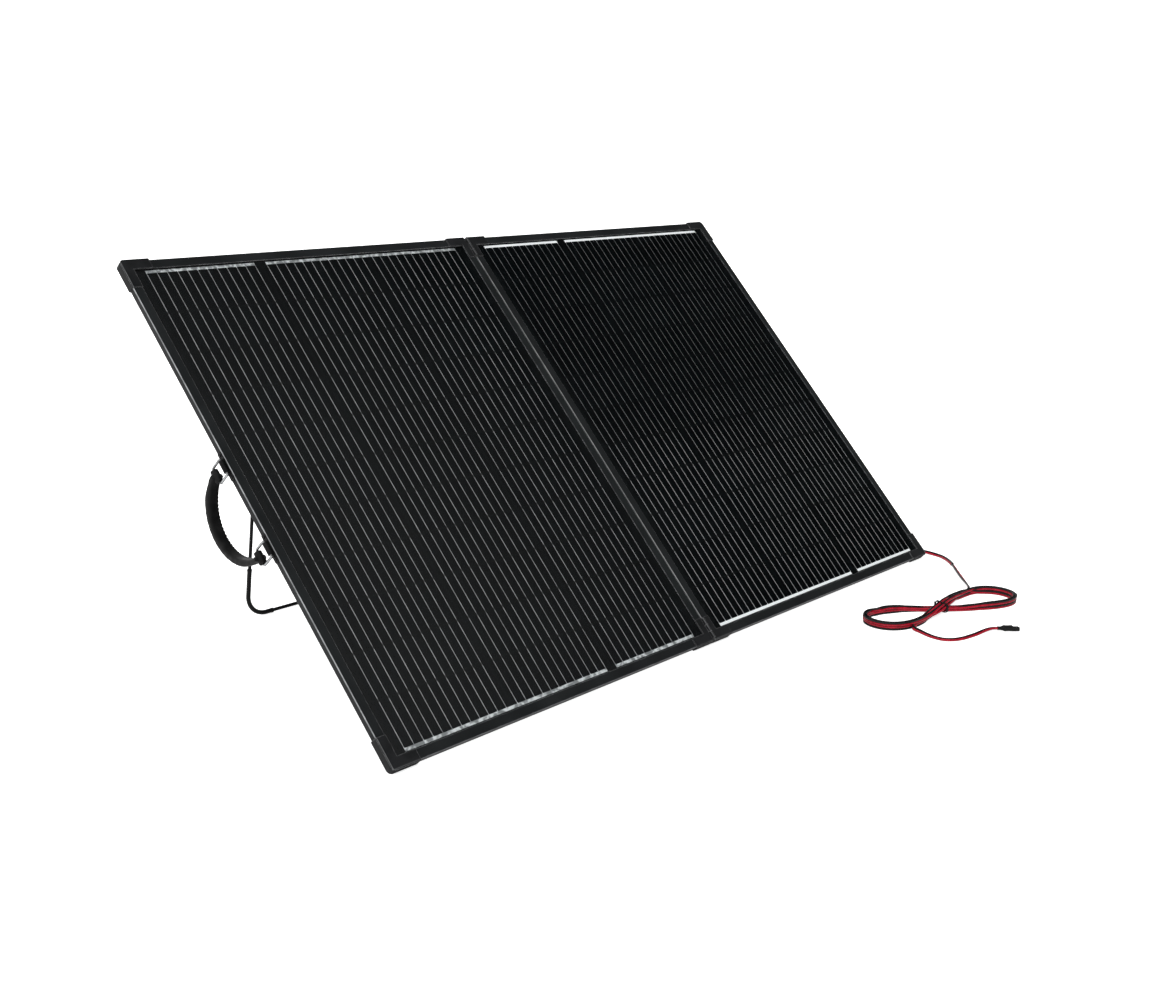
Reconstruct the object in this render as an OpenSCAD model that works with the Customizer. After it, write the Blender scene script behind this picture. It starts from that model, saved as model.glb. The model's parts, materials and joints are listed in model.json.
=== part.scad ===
// Folding two-panel solar charger: two framed panels on a fold hinge, with
// swing-out wire legs, a carrying handle and a free output cable.
// Millimetres, +Z up.  The panels lean back at their working tilt.

/* [Panel] */
// Margin from the side of the frame to the cells
side_margin = 27; // [22:0.5:45]
// Margin from the top or bottom of the frame to the cells
end_margin = 25; // [24:0.5:45]
// Depth of the frame, front to back
frame_t = 10; // [9:0.5:14]
// Gap between the two frames at the seam
seam_gap = 2; // [1.5:0.1:4]
// Lean of the panels from horizontal when standing
tilt = 47.4; // [40:0.1:52]

/* [Frame rail] */
// Width of the lip over the glass
lip_w = 16; // [12:0.5:20]
// Wall of the extrusion
wall_t = 1.2; // [1:0.1:1.6]
// Outer width of the hollow chamber that holds the corner keys
chamber_w = 8; // [7:0.5:10]
// Width of the flange round the back
flange_w = 18; // [14:0.5:24]
// Chamfer along the outer front edge
arris = 0.8; // [0.4:0.1:1.1]
// Length of each corner key arm
key_arm = 38; // [25:1:40]

/* [Laminate] */
// Glass thickness
glass_t = 3; // [2:0.1:3.2]
// Encapsulant layer that holds the cells
encap_t = 0.6; // [0.5:0.05:0.8]
// Backsheet thickness
backsheet_t = 0.4; // [0.3:0.05:0.6]
// Solar cell thickness
cell_t = 0.25; // [0.15:0.05:0.3]
// Tinned ribbon thickness
ribbon_t = 0.15; // [0.1:0.05:0.2]

/* [Cells] */
// Strings of cells side by side in one panel
string_count = 3; // [2:1:4]
// Cells in one string
row_count = 11; // [8:1:14]
// Width of a cell
cell_w = 210; // [160:1:260]
// Height of a cell
cell_h = 70; // [58:1:90]
// Gap between two strings
string_gap = 5; // [2:0.5:10]
// Gap between two rows
row_gap = 3; // [1:0.5:6]
// Busbar wires on one string
busbar_count = 12; // [5:1:16]
// Width of a busbar wire
busbar_w = 0.9; // [0.6:0.1:1.2]
// Width of the cross ribbons that end the strings
ribbon_w = 5; // [3:0.5:6]
// Gap between the last row and the cross ribbon
ribbon_gap = 2; // [0.5:0.1:2]

/* [Corner caps] */
// How far a cap stands proud of the frame
cap_proud = 1.5; // [1:0.1:1.6]
// Length of a corner cap along each rail, on the frame
cap_leg = 48; // [40:1:70]
// Outer radius of the corner caps
cap_round = 8; // [5:0.5:9]
// Chamfer on the free ends of a cap
cap_chamfer = 1.2; // [0.5:0.1:1.4]

/* [Hinge] */
// Length of a hinge cap along the top or bottom rail
hinge_leg_x = 46; // [44:1:70]
// Length of a hinge cap along the inner rail
hinge_leg_s = 41.5; // [41:0.5:60]
// Height of the fold axis over the front face
axis_n = 1.75; // [1.7:0.05:2.2]
// Outer radius of a knuckle
knuckle_r = 3.5; // [3:0.1:4]
// Length of one knuckle
knuckle_len = 12; // [10:0.5:12.2]
// Gap between two knuckles
knuckle_gap = 0.4; // [0.2:0.1:0.6]
// Radius of the hinge pin
hinge_pin_r = 1.5; // [1.2:0.1:1.8]
// Gap round a knuckle where the other cap is cut away
sweep_gap = 0.3; // [0.2:0.05:0.5]
// Gap from a hinge cap to the middle of the seam
cap_seam_gap = 0.25; // [0.2:0.05:0.4]

/* [Legs] */
// Angle of the standing legs from horizontal
leg_angle = 80.8; // [70:0.1:85]
// Half the distance between a leg's two arms
leg_half = 88; // [70:1:120]
// Radius of the leg rod
rod_r = 3; // [2.5:0.25:4]
// Centreline radius of the leg's lower bends
bend_r = 40; // [30:1:60]
// Radius of the rubber sleeves on the bends
sleeve_r = 4.5; // [4:0.25:6]
// Sleeve length up the arm from the bend
sleeve_up = 50; // [20:1:120]
// Sleeve length along the foot bar from the bend
sleeve_in = 14; // [5:1:30]
// Pivot distance below the panel's top edge
pivot_drop = 12; // [11:0.5:16]
// Pivot height behind the back of the frame
pivot_back = 8; // [7.5:0.5:12]
// Radius of the leg pivot pins
pivot_r = 2; // [1.5:0.25:2.5]

/* [Leg brackets] */
// Sheet thickness of the bracket
bracket_t = 1.5; // [1.2:0.1:2]
// Inside gap between the bracket's ears
ear_gap = 10; // [9:0.5:14]
// Radius of the ears round the pivot
ear_r = 6.5; // [5.5:0.5:7.5]
// Distance of the stop web from the pivot
stop_from = 7.5; // [7:0.5:10]
// Length of the stop web
stop_len = 5; // [3:0.5:8]

/* [Handle] */
// Middle of the handle, up the slope
handle_s = 420; // [250:1:500]
// Half the distance between the two rings
ring_half = 68.5; // [50:0.5:90]
// Radius of the ring wire
ring_r = 2; // [1.5:0.25:2.5]
// Ring length between its two bars
ring_len = 24; // [20:1:34]
// Inner width of a ring
ring_w = 21.5; // [18:0.5:30]
// Bar distance out from the side of the frame
ring_out = 5; // [4.8:0.1:6]
// Handle plate length
plate_len = 48; // [46:1:60]
// Handle plate thickness
plate_t = 1.5; // [1.4:0.1:2]
// Radial width of the moulded grip
grip_w = 20; // [14:0.5:20.5]
// Thickness of the moulded grip
grip_t = 12; // [10:0.5:16]
// Radius of the grip's middle line
grip_r = 69; // [69:0.5:95]
// Depth of the grip's finger grooves
groove_d = 1.4; // [0.8:0.1:2]

/* [Junction box] */
// Junction box width
jbox_w = 104; // [80:1:130]
// Junction box height up the slope
jbox_h = 72; // [50:1:90]
// Junction box depth behind the backsheet
jbox_d = 13; // [11:0.5:14]
// Junction box wall
jbox_wall = 2; // [1.6:0.1:3]
// Junction box centre, down from the top edge
jbox_drop = 150; // [90:1:300]

/* [Cables] */
// Width of the flat two-core output cable
cord_w = 7.6; // [6:0.1:8]
// Thickness of the flat two-core output cable
cord_t = 3.8; // [3:0.1:4]
// Diameter of the cable that links the two panels
link_d = 4.4; // [3.5:0.1:4.5]
// Height of the tied cable bundle
bundle_h = 16; // [12:0.5:22]

/* [Plug] */
// Radius of the plug's contact pin
plug_pin_r = 2; // [1.8:0.05:2.2]
// Bare length of the contact pin
plug_pin_len = 10; // [8:0.5:12]
// Distance between the plug's two contacts
plug_pitch = 8.4; // [8:0.1:10]
// Outer radius of each plug barrel
plug_r = 4.2; // [4:0.1:5]

/* [Hidden] */

eps = 0.01;
big = 60;
right = 1;
left = -1;
$fn = 48;

// Colours
frame_colour = "#1b1d1f";
cap_colour = "#101112";
cell_colour = "#0b1016";
film_colour = "#060708";
steel_colour = "#8d9297";
rubber_colour = "#151515";
ribbon_colour = "#d9dcde";
cable_red = "#a3142a";

// Cell field and panel size
string_pitch = cell_w + string_gap;
row_pitch = cell_h + row_gap;
field_w = string_count * string_pitch - string_gap;
field_h = row_count * row_pitch - row_gap;
panel_w = field_w + 2 * side_margin;
panel_h = field_h + 2 * end_margin;
busbar_pitch = cell_w / busbar_count;
bus_span = (busbar_count - 1) * busbar_pitch + busbar_w;

// Standing place: the lowest cap edge on Z = 0, the whole centred on X and Y
edge_z = cap_proud * sin(tilt) + (frame_t + cap_proud) * cos(tilt);
pivot_s = panel_h - pivot_drop;
pivot_n = -frame_t - pivot_back;
pivot_y = pivot_s * cos(tilt) - pivot_n * sin(tilt);
pivot_z = edge_z + pivot_s * sin(tilt) + pivot_n * cos(tilt);
leg_len = (pivot_z - sleeve_r) / sin(leg_angle);
leg_swing = 180 - tilt - leg_angle;
knuckle_start = 3;
cap_reach = cap_proud * (cos(tilt) + sin(tilt));
knuckle_reach = (axis_n + knuckle_r) * sin(tilt) - knuckle_start * cos(tilt);
front_reach = max(cap_reach, knuckle_reach);
back_reach = pivot_y + leg_len * cos(leg_angle) + sleeve_r;
edge_y = (front_reach - back_reach) / 2;
right_reach = seam_gap / 2 + panel_w + cap_proud;
left_reach = seam_gap / 2 + panel_w + ring_out + grip_t / 2;
seam_x = (left_reach - right_reach) / 2;

// Laminate levels, behind the front face
glass_n = -wall_t;
encap_n = glass_n - glass_t;
sheet_n = encap_n - encap_t;
back_n = sheet_n - backsheet_t;
glass_inset = chamber_w + 0.2;

// Handle levels
near_bar_n = -frame_t / 2;
far_bar_n = near_bar_n - ring_len;
grip_end = asin(ring_half / grip_r);
grip_centre_n = far_bar_n + grip_r * cos(grip_end);
run_gap = 0.05;

// Leg bracket details
stop_gap = rod_r + 0.3;
tab_w = 9;
rivet_r = 1.6;

// Cable routes, as [x, up the slope, out of the front] on a panel
cable_n = back_n - cord_t / 2;
exit_s = 12;
exit_n = -frame_t - cap_proud - cord_t / 2 - 0.1;
jbox_s = panel_h - jbox_drop;
box_x = (seam_gap + panel_w + jbox_w) / 2;
run_x = seam_gap / 2 + panel_w - 51;
saddle_x = run_x + 22;
clip_places = [140, 300, 480];
relief_x = run_x + 32;
exit_x = run_x + 54;
link_n = back_n - link_d / 2 - 0.05;
link_back_n = -frame_t - link_d / 2 - 0.3;
link_turn = 40;
output_route = [
    [box_x, jbox_s, cable_n], [box_x + 40, jbox_s, cable_n],
    [run_x - 84, jbox_s, cable_n], [run_x - 44, jbox_s, cable_n],
    [run_x - 24, jbox_s - 4, cable_n], [run_x - 10, jbox_s - 14, cable_n],
    [run_x - 2, jbox_s - 30, cable_n], [run_x, jbox_s - 50, cable_n],
    [run_x, 500, cable_n], [run_x, 300, cable_n], [run_x, 110, cable_n],
    [run_x, 80, cable_n - 0.3], [run_x, 62, exit_n + 4.7], [run_x + 0.5, 46, exit_n + 2.1],
    [run_x + 2, 33, exit_n + 0.3], [run_x + 5, 24, exit_n], [run_x + 10, 17.3, exit_n],
    [run_x + 16, 13.8, exit_n], [run_x + 23, 12.3, exit_n], [relief_x - 3, exit_s, exit_n],
    [relief_x, exit_s, exit_n]];
// Free cable, as [x, y, z] where it lies
lead_route = [
    [702.8, -322.7, 8.6], [712, -323.2, 8.1], [720, -327.5, 6.6], [725, -336, 4.8],
    [726, -349, 3.4], [722, -363, 2.6], [713, -378, 2.2], [702, -391, 2.1],
    [688, -405, 2.1], [673, -418, 2.1], [658, -430, 2.1], [642, -443, 2.1],
    [625, -457, 2.1], [607, -472, 2.4], [589, -487, 3.4], [571, -500, 5],
    [554, -511, 7]];
tail_route = [
    [291, -546, 4], [285, -562, 2.6], [279, -578, 2.1], [275, -594, 2.1],
    [276, -610, 2.1], [286, -623, 2.1], [302, -631, 2.1], [320, -635, 2.1],
    [338, -638, 2.4], [354, -639.5, 3], [368, -642, 3.8], [377, -645.4, 4.3],
    [380.65, -648.28, 4.4], [384, -652, 4.4]];
bundle_at = [415, -530];
bundle_turn = -17;
bundle_a = 163;
bundle_b = 42;
bundle_band = 9;
bundle_waist = 15;
tie_t = 1.2;
tie_w = 6;
plug_at = [384, -652, 4.4];
plug_turn = -48;
neck_len = 11;
body_len = 15;
plug_front = neck_len + body_len;
socket_tube_r = plug_pin_r + 0.7;
pin_root = 8;

// ---------------------------------------------------------------- placing

// A panel's own frame: X out from the seam, Y up the slope, Z out of the front
module on_panel(side) {
    translate([seam_x, edge_y, edge_z])
        rotate([tilt, 0, 0])
            mirror([side == left ? 1 : 0, 0, 0])
                translate([seam_gap / 2, 0, 0])
                    children();
}

// The same frame with X measured from the middle of the seam
module on_seam() {
    translate([seam_x, edge_y, edge_z]) rotate([tilt, 0, 0]) children();
}

// Turns a piece made for the bottom of the panel over to the top
module at_end(top) {
    translate([0, top ? panel_h : 0, 0]) mirror([0, top ? 1 : 0, 0]) children();
}

// Turns a piece made at the seam side over to the outer side
module at_outer() {
    translate([panel_w, 0, 0]) mirror([1, 0, 0]) children();
}

// Cylinder along Y from y0, and along X about its middle
module rod_s(r, y0, len) {
    translate([0, y0, 0]) rotate([-90, 0, 0]) cylinder(r = r, h = len);
}

module rod_x(r, len) {
    rotate([0, 90, 0]) cylinder(r = r, h = len, center = true);
}

// Rectangle with rounded corners, centred
module soft_rect(w, h, r) {
    square([w - 2 * r, h], center = true);
    square([w, h - 2 * r], center = true);
    for (i = [-1, 1], j = [-1, 1])
        translate([i * (w / 2 - r), j * (h / 2 - r)]) circle(r);
}

// ---------------------------------------------------------------- sweeping

function unit(v) = v / norm(v);
function heading(p, i) = unit(p[min(i + 1, len(p) - 1)] - p[max(i - 1, 0)]);
function cable_ring(p, i, w, t, up, sides) =
    let (d = heading(p, i), a = unit(cross(d, up)), b = cross(a, d))
    [for (k = [0:sides - 1])
        p[i] + a * w / 2 * cos(360 * (k + 0.5) / sides)
             + b * t / 2 * sin(360 * (k + 0.5) / sides)];

// A tube of oval section w by t along the points p, with its flat side facing up
module cable(p, w, t, up, sides = 8) {
    rings = [for (i = [0:len(p) - 1]) cable_ring(p, i, w, t, up, sides)];
    last = (len(p) - 1) * sides;
    polyhedron(
        points = [for (r = rings) for (q = r) q],
        faces = concat(
            [[for (k = [0:sides - 1]) k]],
            [[for (k = [sides - 1:-1:0]) last + k]],
            [for (i = [0:len(p) - 2], k = [0:sides - 1])
                let (a = i * sides + k, b = i * sides + (k + 1) % sides)
                [b, a, a + sides, b + sides]]));
}

// ---------------------------------------------------------------- frame

// Rail section: x in from the outer face, y out of the front.  A hollow chamber
// outside, then the lip, the groove for the laminate and the back flange.
module rail_section() {
    groove_back = back_n - wall_t;
    difference() {
        polygon([
            [0, -arris], [arris, 0], [lip_w - 0.5, 0], [lip_w, -0.5],
            [lip_w, -wall_t], [chamber_w, -wall_t], [chamber_w, back_n],
            [lip_w - 3, back_n], [lip_w - 3, groove_back], [chamber_w, groove_back],
            [chamber_w, -frame_t + wall_t], [flange_w, -frame_t + wall_t],
            [flange_w, -frame_t], [0, -frame_t]]);
        translate([wall_t, -frame_t + wall_t])
            square([chamber_w - 2 * wall_t, frame_t - 2 * wall_t]);
    }
}

// A rail with mitred ends
module rail(length) {
    mitre = flange_w + 1;
    intersection() {
        rotate([90, 0, 90]) linear_extrude(length) rail_section();
        translate([0, 0, -frame_t - 1])
            linear_extrude(frame_t + 2)
                polygon([[0, 0], [length, 0], [length - mitre, mitre], [mitre, mitre]]);
    }
}

// What the cap radius takes off the frame's outer corners
module corner_cut(r) {
    difference() {
        translate([-1, -1, -big / 2]) cube([r + 1, r + 1, big]);
        translate([r, r, -big]) cylinder(r = r, h = 2 * big);
    }
}

// Room for the hinge knuckles and their cradle, with a gap all round
module hinge_relief(gap) {
    for (top = [false, true])
        at_end(top)
            translate([-seam_gap / 2, 0, axis_n])
                rod_s(knuckle_r + sweep_gap + 1 + gap, -2, hinge_leg_s + 2 + gap);
}

module rivet_holes() {
    outside = ear_gap + 2 * bracket_t;
    at_brackets()
        for (i = [-1, 1])
            translate([i * (outside + tab_w) / 2, 0, 0])
                cylinder(r = rivet_r, h = pivot_back + wall_t);
}

module frame_cuts(side) {
    for (top = [false, true]) {
        at_end(top) at_outer() corner_cut(cap_round - cap_proud);
        at_end(top)
            translate([0, 0, -big / 2])
                linear_extrude(big) polygon([[-1, -1], [2, -1], [-1, 2]]);
    }
    hinge_relief(0);
    rivet_holes();
    if (side == left) handle_screw_places() screw_shank();
}

module top_rail(side) {
    color(frame_colour) on_panel(side) difference() {
        at_end(true) rail(panel_w);
        frame_cuts(side);
    }
}

module bottom_rail(side) {
    color(frame_colour) on_panel(side) difference() {
        rail(panel_w);
        frame_cuts(side);
    }
}

module inner_rail(side) {
    color(frame_colour) on_panel(side) difference() {
        mirror([1, -1, 0]) rail(panel_h);
        frame_cuts(side);
    }
}

module outer_rail(side) {
    color(frame_colour) on_panel(side) difference() {
        at_outer() mirror([1, -1, 0]) rail(panel_h);
        frame_cuts(side);
    }
}

// Angle keys that join the mitred corners inside the chambers
module corner_keys(side) {
    slack = 0.1;
    inset = wall_t + slack;
    thick = chamber_w - 2 * inset;
    depth = frame_t - 2 * inset;
    nose = cap_round - cap_proud - inset;
    color(steel_colour) on_panel(side) difference() {
        for (top = [false, true], outer = [false, true])
            at_end(top) translate([outer ? panel_w : 0, 0, 0]) mirror([outer ? 1 : 0, 0, 0])
                translate([inset, inset, -frame_t + inset]) difference() {
                    union() {
                        cube([key_arm, thick, depth]);
                        cube([thick, key_arm, depth]);
                    }
                    translate([0, 0, -eps])
                        linear_extrude(depth + 2 * eps)
                            polygon([[-1, -1], [nose + 1, -1], [-1, nose + 1]]);
                }
        hinge_relief(slack);
    }
}

// ---------------------------------------------------------------- laminate

module sheet(thickness, top_level) {
    translate([glass_inset, glass_inset, top_level - thickness])
        cube([panel_w - 2 * glass_inset, panel_h - 2 * glass_inset, thickness]);
}

module glass(side) {
    color(film_colour, 0.35) on_panel(side) sheet(glass_t, glass_n);
}

module cell_field(thickness) {
    for (i = [0:string_count - 1], j = [0:row_count - 1])
        translate([side_margin + i * string_pitch, end_margin + j * row_pitch, 0])
            cube([cell_w, cell_h, thickness]);
}

module cells(side) {
    color(cell_colour) on_panel(side)
        translate([0, 0, encap_n - ribbon_t - cell_t]) cell_field(cell_t);
}

// Busbar wires down every string, ended by cross ribbons.  The strings are in
// series, so the top ribbon is parted after the first string and the bottom
// ribbon before the last.  Both panels read the same from left to right.
module tab_pattern() {
    half = side_margin + cell_w / 2;
    low = end_margin - ribbon_gap - ribbon_w;
    high = end_margin + field_h + ribbon_gap;
    for (i = [0:string_count - 1])
        translate([half + i * string_pitch - bus_span / 2, low + eps, 0])
            for (k = [0:busbar_count - 1])
                translate([k * busbar_pitch, 0])
                    square([busbar_w, high - low + ribbon_w - 2 * eps]);
    cross_ribbon(half, 0, 0, high);
    cross_ribbon(half, 1, string_count - 1, high);
    cross_ribbon(half, 0, string_count - 2, low);
    cross_ribbon(half, string_count - 1, string_count - 1, low);
}

module cross_ribbon(half, from, to, level) {
    translate([half + from * string_pitch - bus_span / 2, level])
        square([(to - from) * string_pitch + bus_span, ribbon_w]);
}

module tabs(side, thickness) {
    if (side == right)
        linear_extrude(thickness) tab_pattern();
    else
        translate([panel_w, 0, 0]) mirror([1, 0, 0]) linear_extrude(thickness) tab_pattern();
}

module tabbing(side) {
    color(ribbon_colour) on_panel(side)
        translate([0, 0, encap_n - ribbon_t]) tabs(side, ribbon_t);
}

// The film that beds the cells, with a shallow pocket for the wires over them
module encapsulant(side) {
    pocket = ribbon_gap + ribbon_w;
    color(film_colour) on_panel(side) difference() {
        sheet(encap_t, encap_n);
        translate([0, 0, encap_n - ribbon_t - cell_t]) cell_field(cell_t + eps);
        translate([side_margin, end_margin - pocket, encap_n - ribbon_t])
            cube([field_w, field_h + 2 * pocket, ribbon_t + eps]);
    }
}

module backsheet(side) {
    color(film_colour) on_panel(side) sheet(backsheet_t, sheet_n);
}

// ---------------------------------------------------------------- caps

// L-shaped plan of a cap, with chamfered free ends, for a prism to be cut by
module cap_plan(leg_x, leg_s, edge_x, edge_s) {
    c = cap_chamfer;
    polygon([
        [-edge_x, -edge_s], [leg_x, -edge_s], [leg_x + c, c - edge_s],
        [leg_x + c, lip_w], [lip_w, lip_w], [lip_w, leg_s + c],
        [c - edge_x, leg_s + c], [-edge_x, leg_s]]);
}

// Sloped ends on the front and back plates of a cap, so a snag can't lift it
module cap_end_slopes(leg_x, leg_s) {
    for (front = [true, false])
        translate([0, 0, front ? cap_proud : -frame_t - cap_proud]) {
            translate([leg_x + cap_chamfer, -big / 2, 0])
                rotate([0, 45, 0]) cube([1.2, big * 2, 1.2], center = true);
            translate([-big / 2, leg_s + cap_chamfer, 0])
                rotate([45, 0, 0]) cube([big * 2, 1.2, 1.2], center = true);
        }
}

// Moulded corner cap: a sleeve over the mitre, open to the inside
module corner_cap() {
    difference() {
        translate([0, 0, -frame_t - cap_proud])
            linear_extrude(frame_t + 2 * cap_proud)
                cap_plan(cap_leg, cap_leg, cap_proud, cap_proud);
        translate([-cap_proud, -cap_proud, 0]) corner_cut(cap_round);
        difference() {
            translate([0, 0, -frame_t]) cube([big * 2, big * 2, frame_t]);
            corner_cut(cap_round - cap_proud);
        }
        cap_end_slopes(cap_leg, cap_leg);
    }
}

module outer_cap(side, top) {
    color(cap_colour) on_panel(side) at_end(top) at_outer() corner_cap();
}

// Where knuckle number i starts, from the end of the panel
function knuckle_at(i) = knuckle_start + i * (knuckle_len + knuckle_gap);

// Hinge cap: a sleeve over the inner corner that carries the fold knuckles.
// The right panel has the first and last knuckle and grips the pin; the left
// panel has the middle one, which turns on it.
module hinge_cap(side) {
    own = side == right ? [0, 2] : [1];
    other = side == right ? [1] : [0, 2];
    bore = side == right ? hinge_pin_r : hinge_pin_r + run_gap;
    edge = seam_gap / 2 - cap_seam_gap;
    cradle = knuckle_r + sweep_gap + 1;
    cut = knuckle_r + sweep_gap;
    difference() {
        union() {
            difference() {
                union() {
                    translate([0, 0, -frame_t - cap_proud])
                        linear_extrude(frame_t + 2 * cap_proud)
                            cap_plan(hinge_leg_x, hinge_leg_s, edge, cap_proud);
                }
                translate([0, 0, -frame_t]) cube([big * 2, big * 2, frame_t]);
                cap_end_slopes(hinge_leg_x, hinge_leg_s);
                translate([-edge, -cap_proud, -big / 2])
                    linear_extrude(big) polygon([[-1, -1], [1.5, -1], [1.5, 0], [0, 1.5], [-1, 1.5]]);
            }
            intersection() {
                translate([-seam_gap / 2, 0, axis_n])
                    rod_s(cradle, 0, hinge_leg_s);
                translate([-edge, 1, -frame_t]) cube([big, big, frame_t + cap_proud]);
            }
            for (i = own)
                translate([-seam_gap / 2, 0, axis_n])
                    rod_s(knuckle_r, knuckle_at(i), knuckle_len);
        }
        for (i = other)
            translate([-seam_gap / 2, 0, axis_n]) {
                start = i == 0 ? -3 : knuckle_at(i) - knuckle_gap / 2;
                end = knuckle_at(i) + knuckle_len + knuckle_gap / 2;
                rod_s(cut, start, end - start);
            }
        translate([-seam_gap / 2, 0, axis_n]) rod_s(bore, -3, hinge_leg_s + 10);
    }
}

module fold_cap(side, top) {
    color(cap_colour) on_panel(side) at_end(top) hinge_cap(side);
}

module hinge_pins() {
    color(steel_colour) on_seam()
        for (top = [false, true])
            at_end(top) translate([0, 0, axis_n])
                rod_s(hinge_pin_r, knuckle_at(0), 3 * knuckle_len + 2 * knuckle_gap);
}

// ---------------------------------------------------------------- junction box

module at_jbox() {
    translate([panel_w / 2, jbox_s, back_n]) mirror([0, 0, 1]) children();
}

module junction_box(side) {
    color(cap_colour) on_panel(side) at_jbox() {
        difference() {
            linear_extrude(jbox_d) soft_rect(jbox_w, jbox_h, 6);
            translate([0, 0, jbox_wall])
                linear_extrude(jbox_d) soft_rect(jbox_w - 2 * jbox_wall, jbox_h - 2 * jbox_wall, 4);
        }
        for (i = [-1, 1], j = [-1, 1])
            translate([i * (jbox_w / 2 - 6), j * (jbox_h / 2 - 6), jbox_wall])
                cylinder(r = 3.5, h = jbox_d - jbox_wall);
    }
}

module junction_lid(side) {
    color(cap_colour) on_panel(side) at_jbox()
        translate([0, 0, jbox_d]) {
            linear_extrude(1.6) soft_rect(jbox_w, jbox_h, 6);
            translate([0, 0, 1.6]) linear_extrude(0.8) soft_rect(jbox_w - 12, jbox_h - 12, 4);
        }
}

// ---------------------------------------------------------------- legs

// Both brackets of one panel, in the panel's frame
module at_brackets() {
    for (i = [-1, 1])
        translate([panel_w / 2 + i * leg_half, pivot_s, pivot_n]) children();
}

// Side view of an ear: x up the slope, y out of the front, pivot at the origin,
// with an arm beside the standing leg that carries the stop
module ear_shape() {
    foot = ear_r - 0.5;
    circle(ear_r);
    translate([-foot, 0]) square([2 * foot, pivot_back - bracket_t / 2]);
    rotate(leg_swing)
        translate([-stop_from - stop_len - 0.5, -stop_gap - bracket_t - 0.5])
            square([stop_from + stop_len, stop_gap + bracket_t]);
}

module leg_bracket() {
    outside = ear_gap + 2 * bracket_t;
    difference() {
        union() {
            for (x = [-ear_gap / 2 - bracket_t, ear_gap / 2])
                translate([x, 0, 0]) rotate([90, 0, 90]) linear_extrude(bracket_t) ear_shape();
            translate([-outside / 2 - tab_w, -ear_r, pivot_back - bracket_t])
                cube([outside + 2 * tab_w, 2 * ear_r, bracket_t]);
            rotate([leg_swing, 0, 0])
                translate([-(ear_gap + bracket_t) / 2, -stop_from - stop_len, -stop_gap - bracket_t])
                    cube([ear_gap + bracket_t, stop_len, bracket_t]);
        }
        rod_x(pivot_r, big);
        for (i = [-1, 1]) translate([i * (outside + tab_w) / 2, 0, 0]) cylinder(r = rivet_r, h = big);
    }
}

// Rivets that hold the brackets to the top rail's flange
module bracket_rivets(side) {
    outside = ear_gap + 2 * bracket_t;
    color(steel_colour) on_panel(side) at_brackets()
        for (i = [-1, 1])
            translate([i * (outside + tab_w) / 2, 0, pivot_back - bracket_t]) {
                cylinder(r = rivet_r, h = bracket_t + wall_t);
                translate([0, 0, -0.9]) cylinder(r1 = 1.8, r2 = 2.7, h = 0.9);
            }
}

module leg_brackets(side) {
    color(frame_colour) on_panel(side) at_brackets() leg_bracket();
}

module leg_pins(side) {
    span = ear_gap + 2 * bracket_t;
    color(steel_colour) on_panel(side) at_brackets() {
        rod_x(pivot_r, span + 2);
        for (i = [-1, 1]) translate([i * (span / 2 + 0.5), 0, 0]) rod_x(pivot_r + 1.4, 1);
    }
}

// The leg's frame: its pivot line along X, its arms down -Z
module on_leg(side) {
    translate([seam_x + side * (seam_gap / 2 + panel_w / 2), edge_y + pivot_y, pivot_z])
        rotate([90 - leg_angle, 0, 0]) children();
}

module lower_bend(r) {
    for (i = [0, 1])
        mirror([i, 0, 0])
            translate([leg_half - bend_r, 0, bend_r - leg_len])
                rotate([90, 0, 0]) mirror([0, 1, 0])
                    rotate_extrude(angle = 90) translate([bend_r, 0]) circle(r);
}

module arms(r, z0, length) {
    for (i = [-1, 1])
        translate([i * leg_half, 0, z0]) cylinder(r = r, h = length);
}

module leg_rod(side) {
    color(frame_colour) on_leg(side) difference() {
        union() {
            arms(rod_r, bend_r - leg_len, leg_len - bend_r);
            lower_bend(rod_r);
            translate([0, 0, -leg_len]) rod_x(rod_r, 2 * (leg_half - bend_r));
            for (i = [-1, 1]) translate([i * leg_half, 0, 0]) rod_x(5, ear_gap - 0.4);
        }
        for (i = [-1, 1]) translate([i * leg_half, 0, 0]) rod_x(pivot_r + run_gap, big / 3);
    }
}

module sleeve_shape(r) {
    arms(r, bend_r - leg_len, sleeve_up);
    lower_bend(r);
    for (i = [-1, 1])
        translate([i * (leg_half - bend_r - sleeve_in / 2), 0, -leg_len]) rod_x(r, sleeve_in);
}

module leg_sleeves(side) {
    color(rubber_colour) on_leg(side) difference() {
        sleeve_shape(sleeve_r);
        arms(rod_r, bend_r - leg_len, leg_len);
        lower_bend(rod_r);
        translate([0, 0, -leg_len]) rod_x(rod_r, 2 * (leg_half - bend_r));
    }
}

// ---------------------------------------------------------------- handle

// The two ring places on the left panel, with X out from the side of the frame
module at_rings() {
    on_panel(left)
        for (i = [-1, 1])
            translate([panel_w, handle_s + i * ring_half, near_bar_n]) children();
}

module handle_screw_places() {
    for (i = [-1, 1], j = [-1, 1])
        translate([panel_w, handle_s + i * ring_half + j * (plate_len / 2 - 5.5), near_bar_n])
            children();
}

module screw_shank() {
    rotate([0, 90, 0]) translate([0, 0, -5]) cylinder(r = 1.75, h = 5 + plate_t + 1);
}

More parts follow.
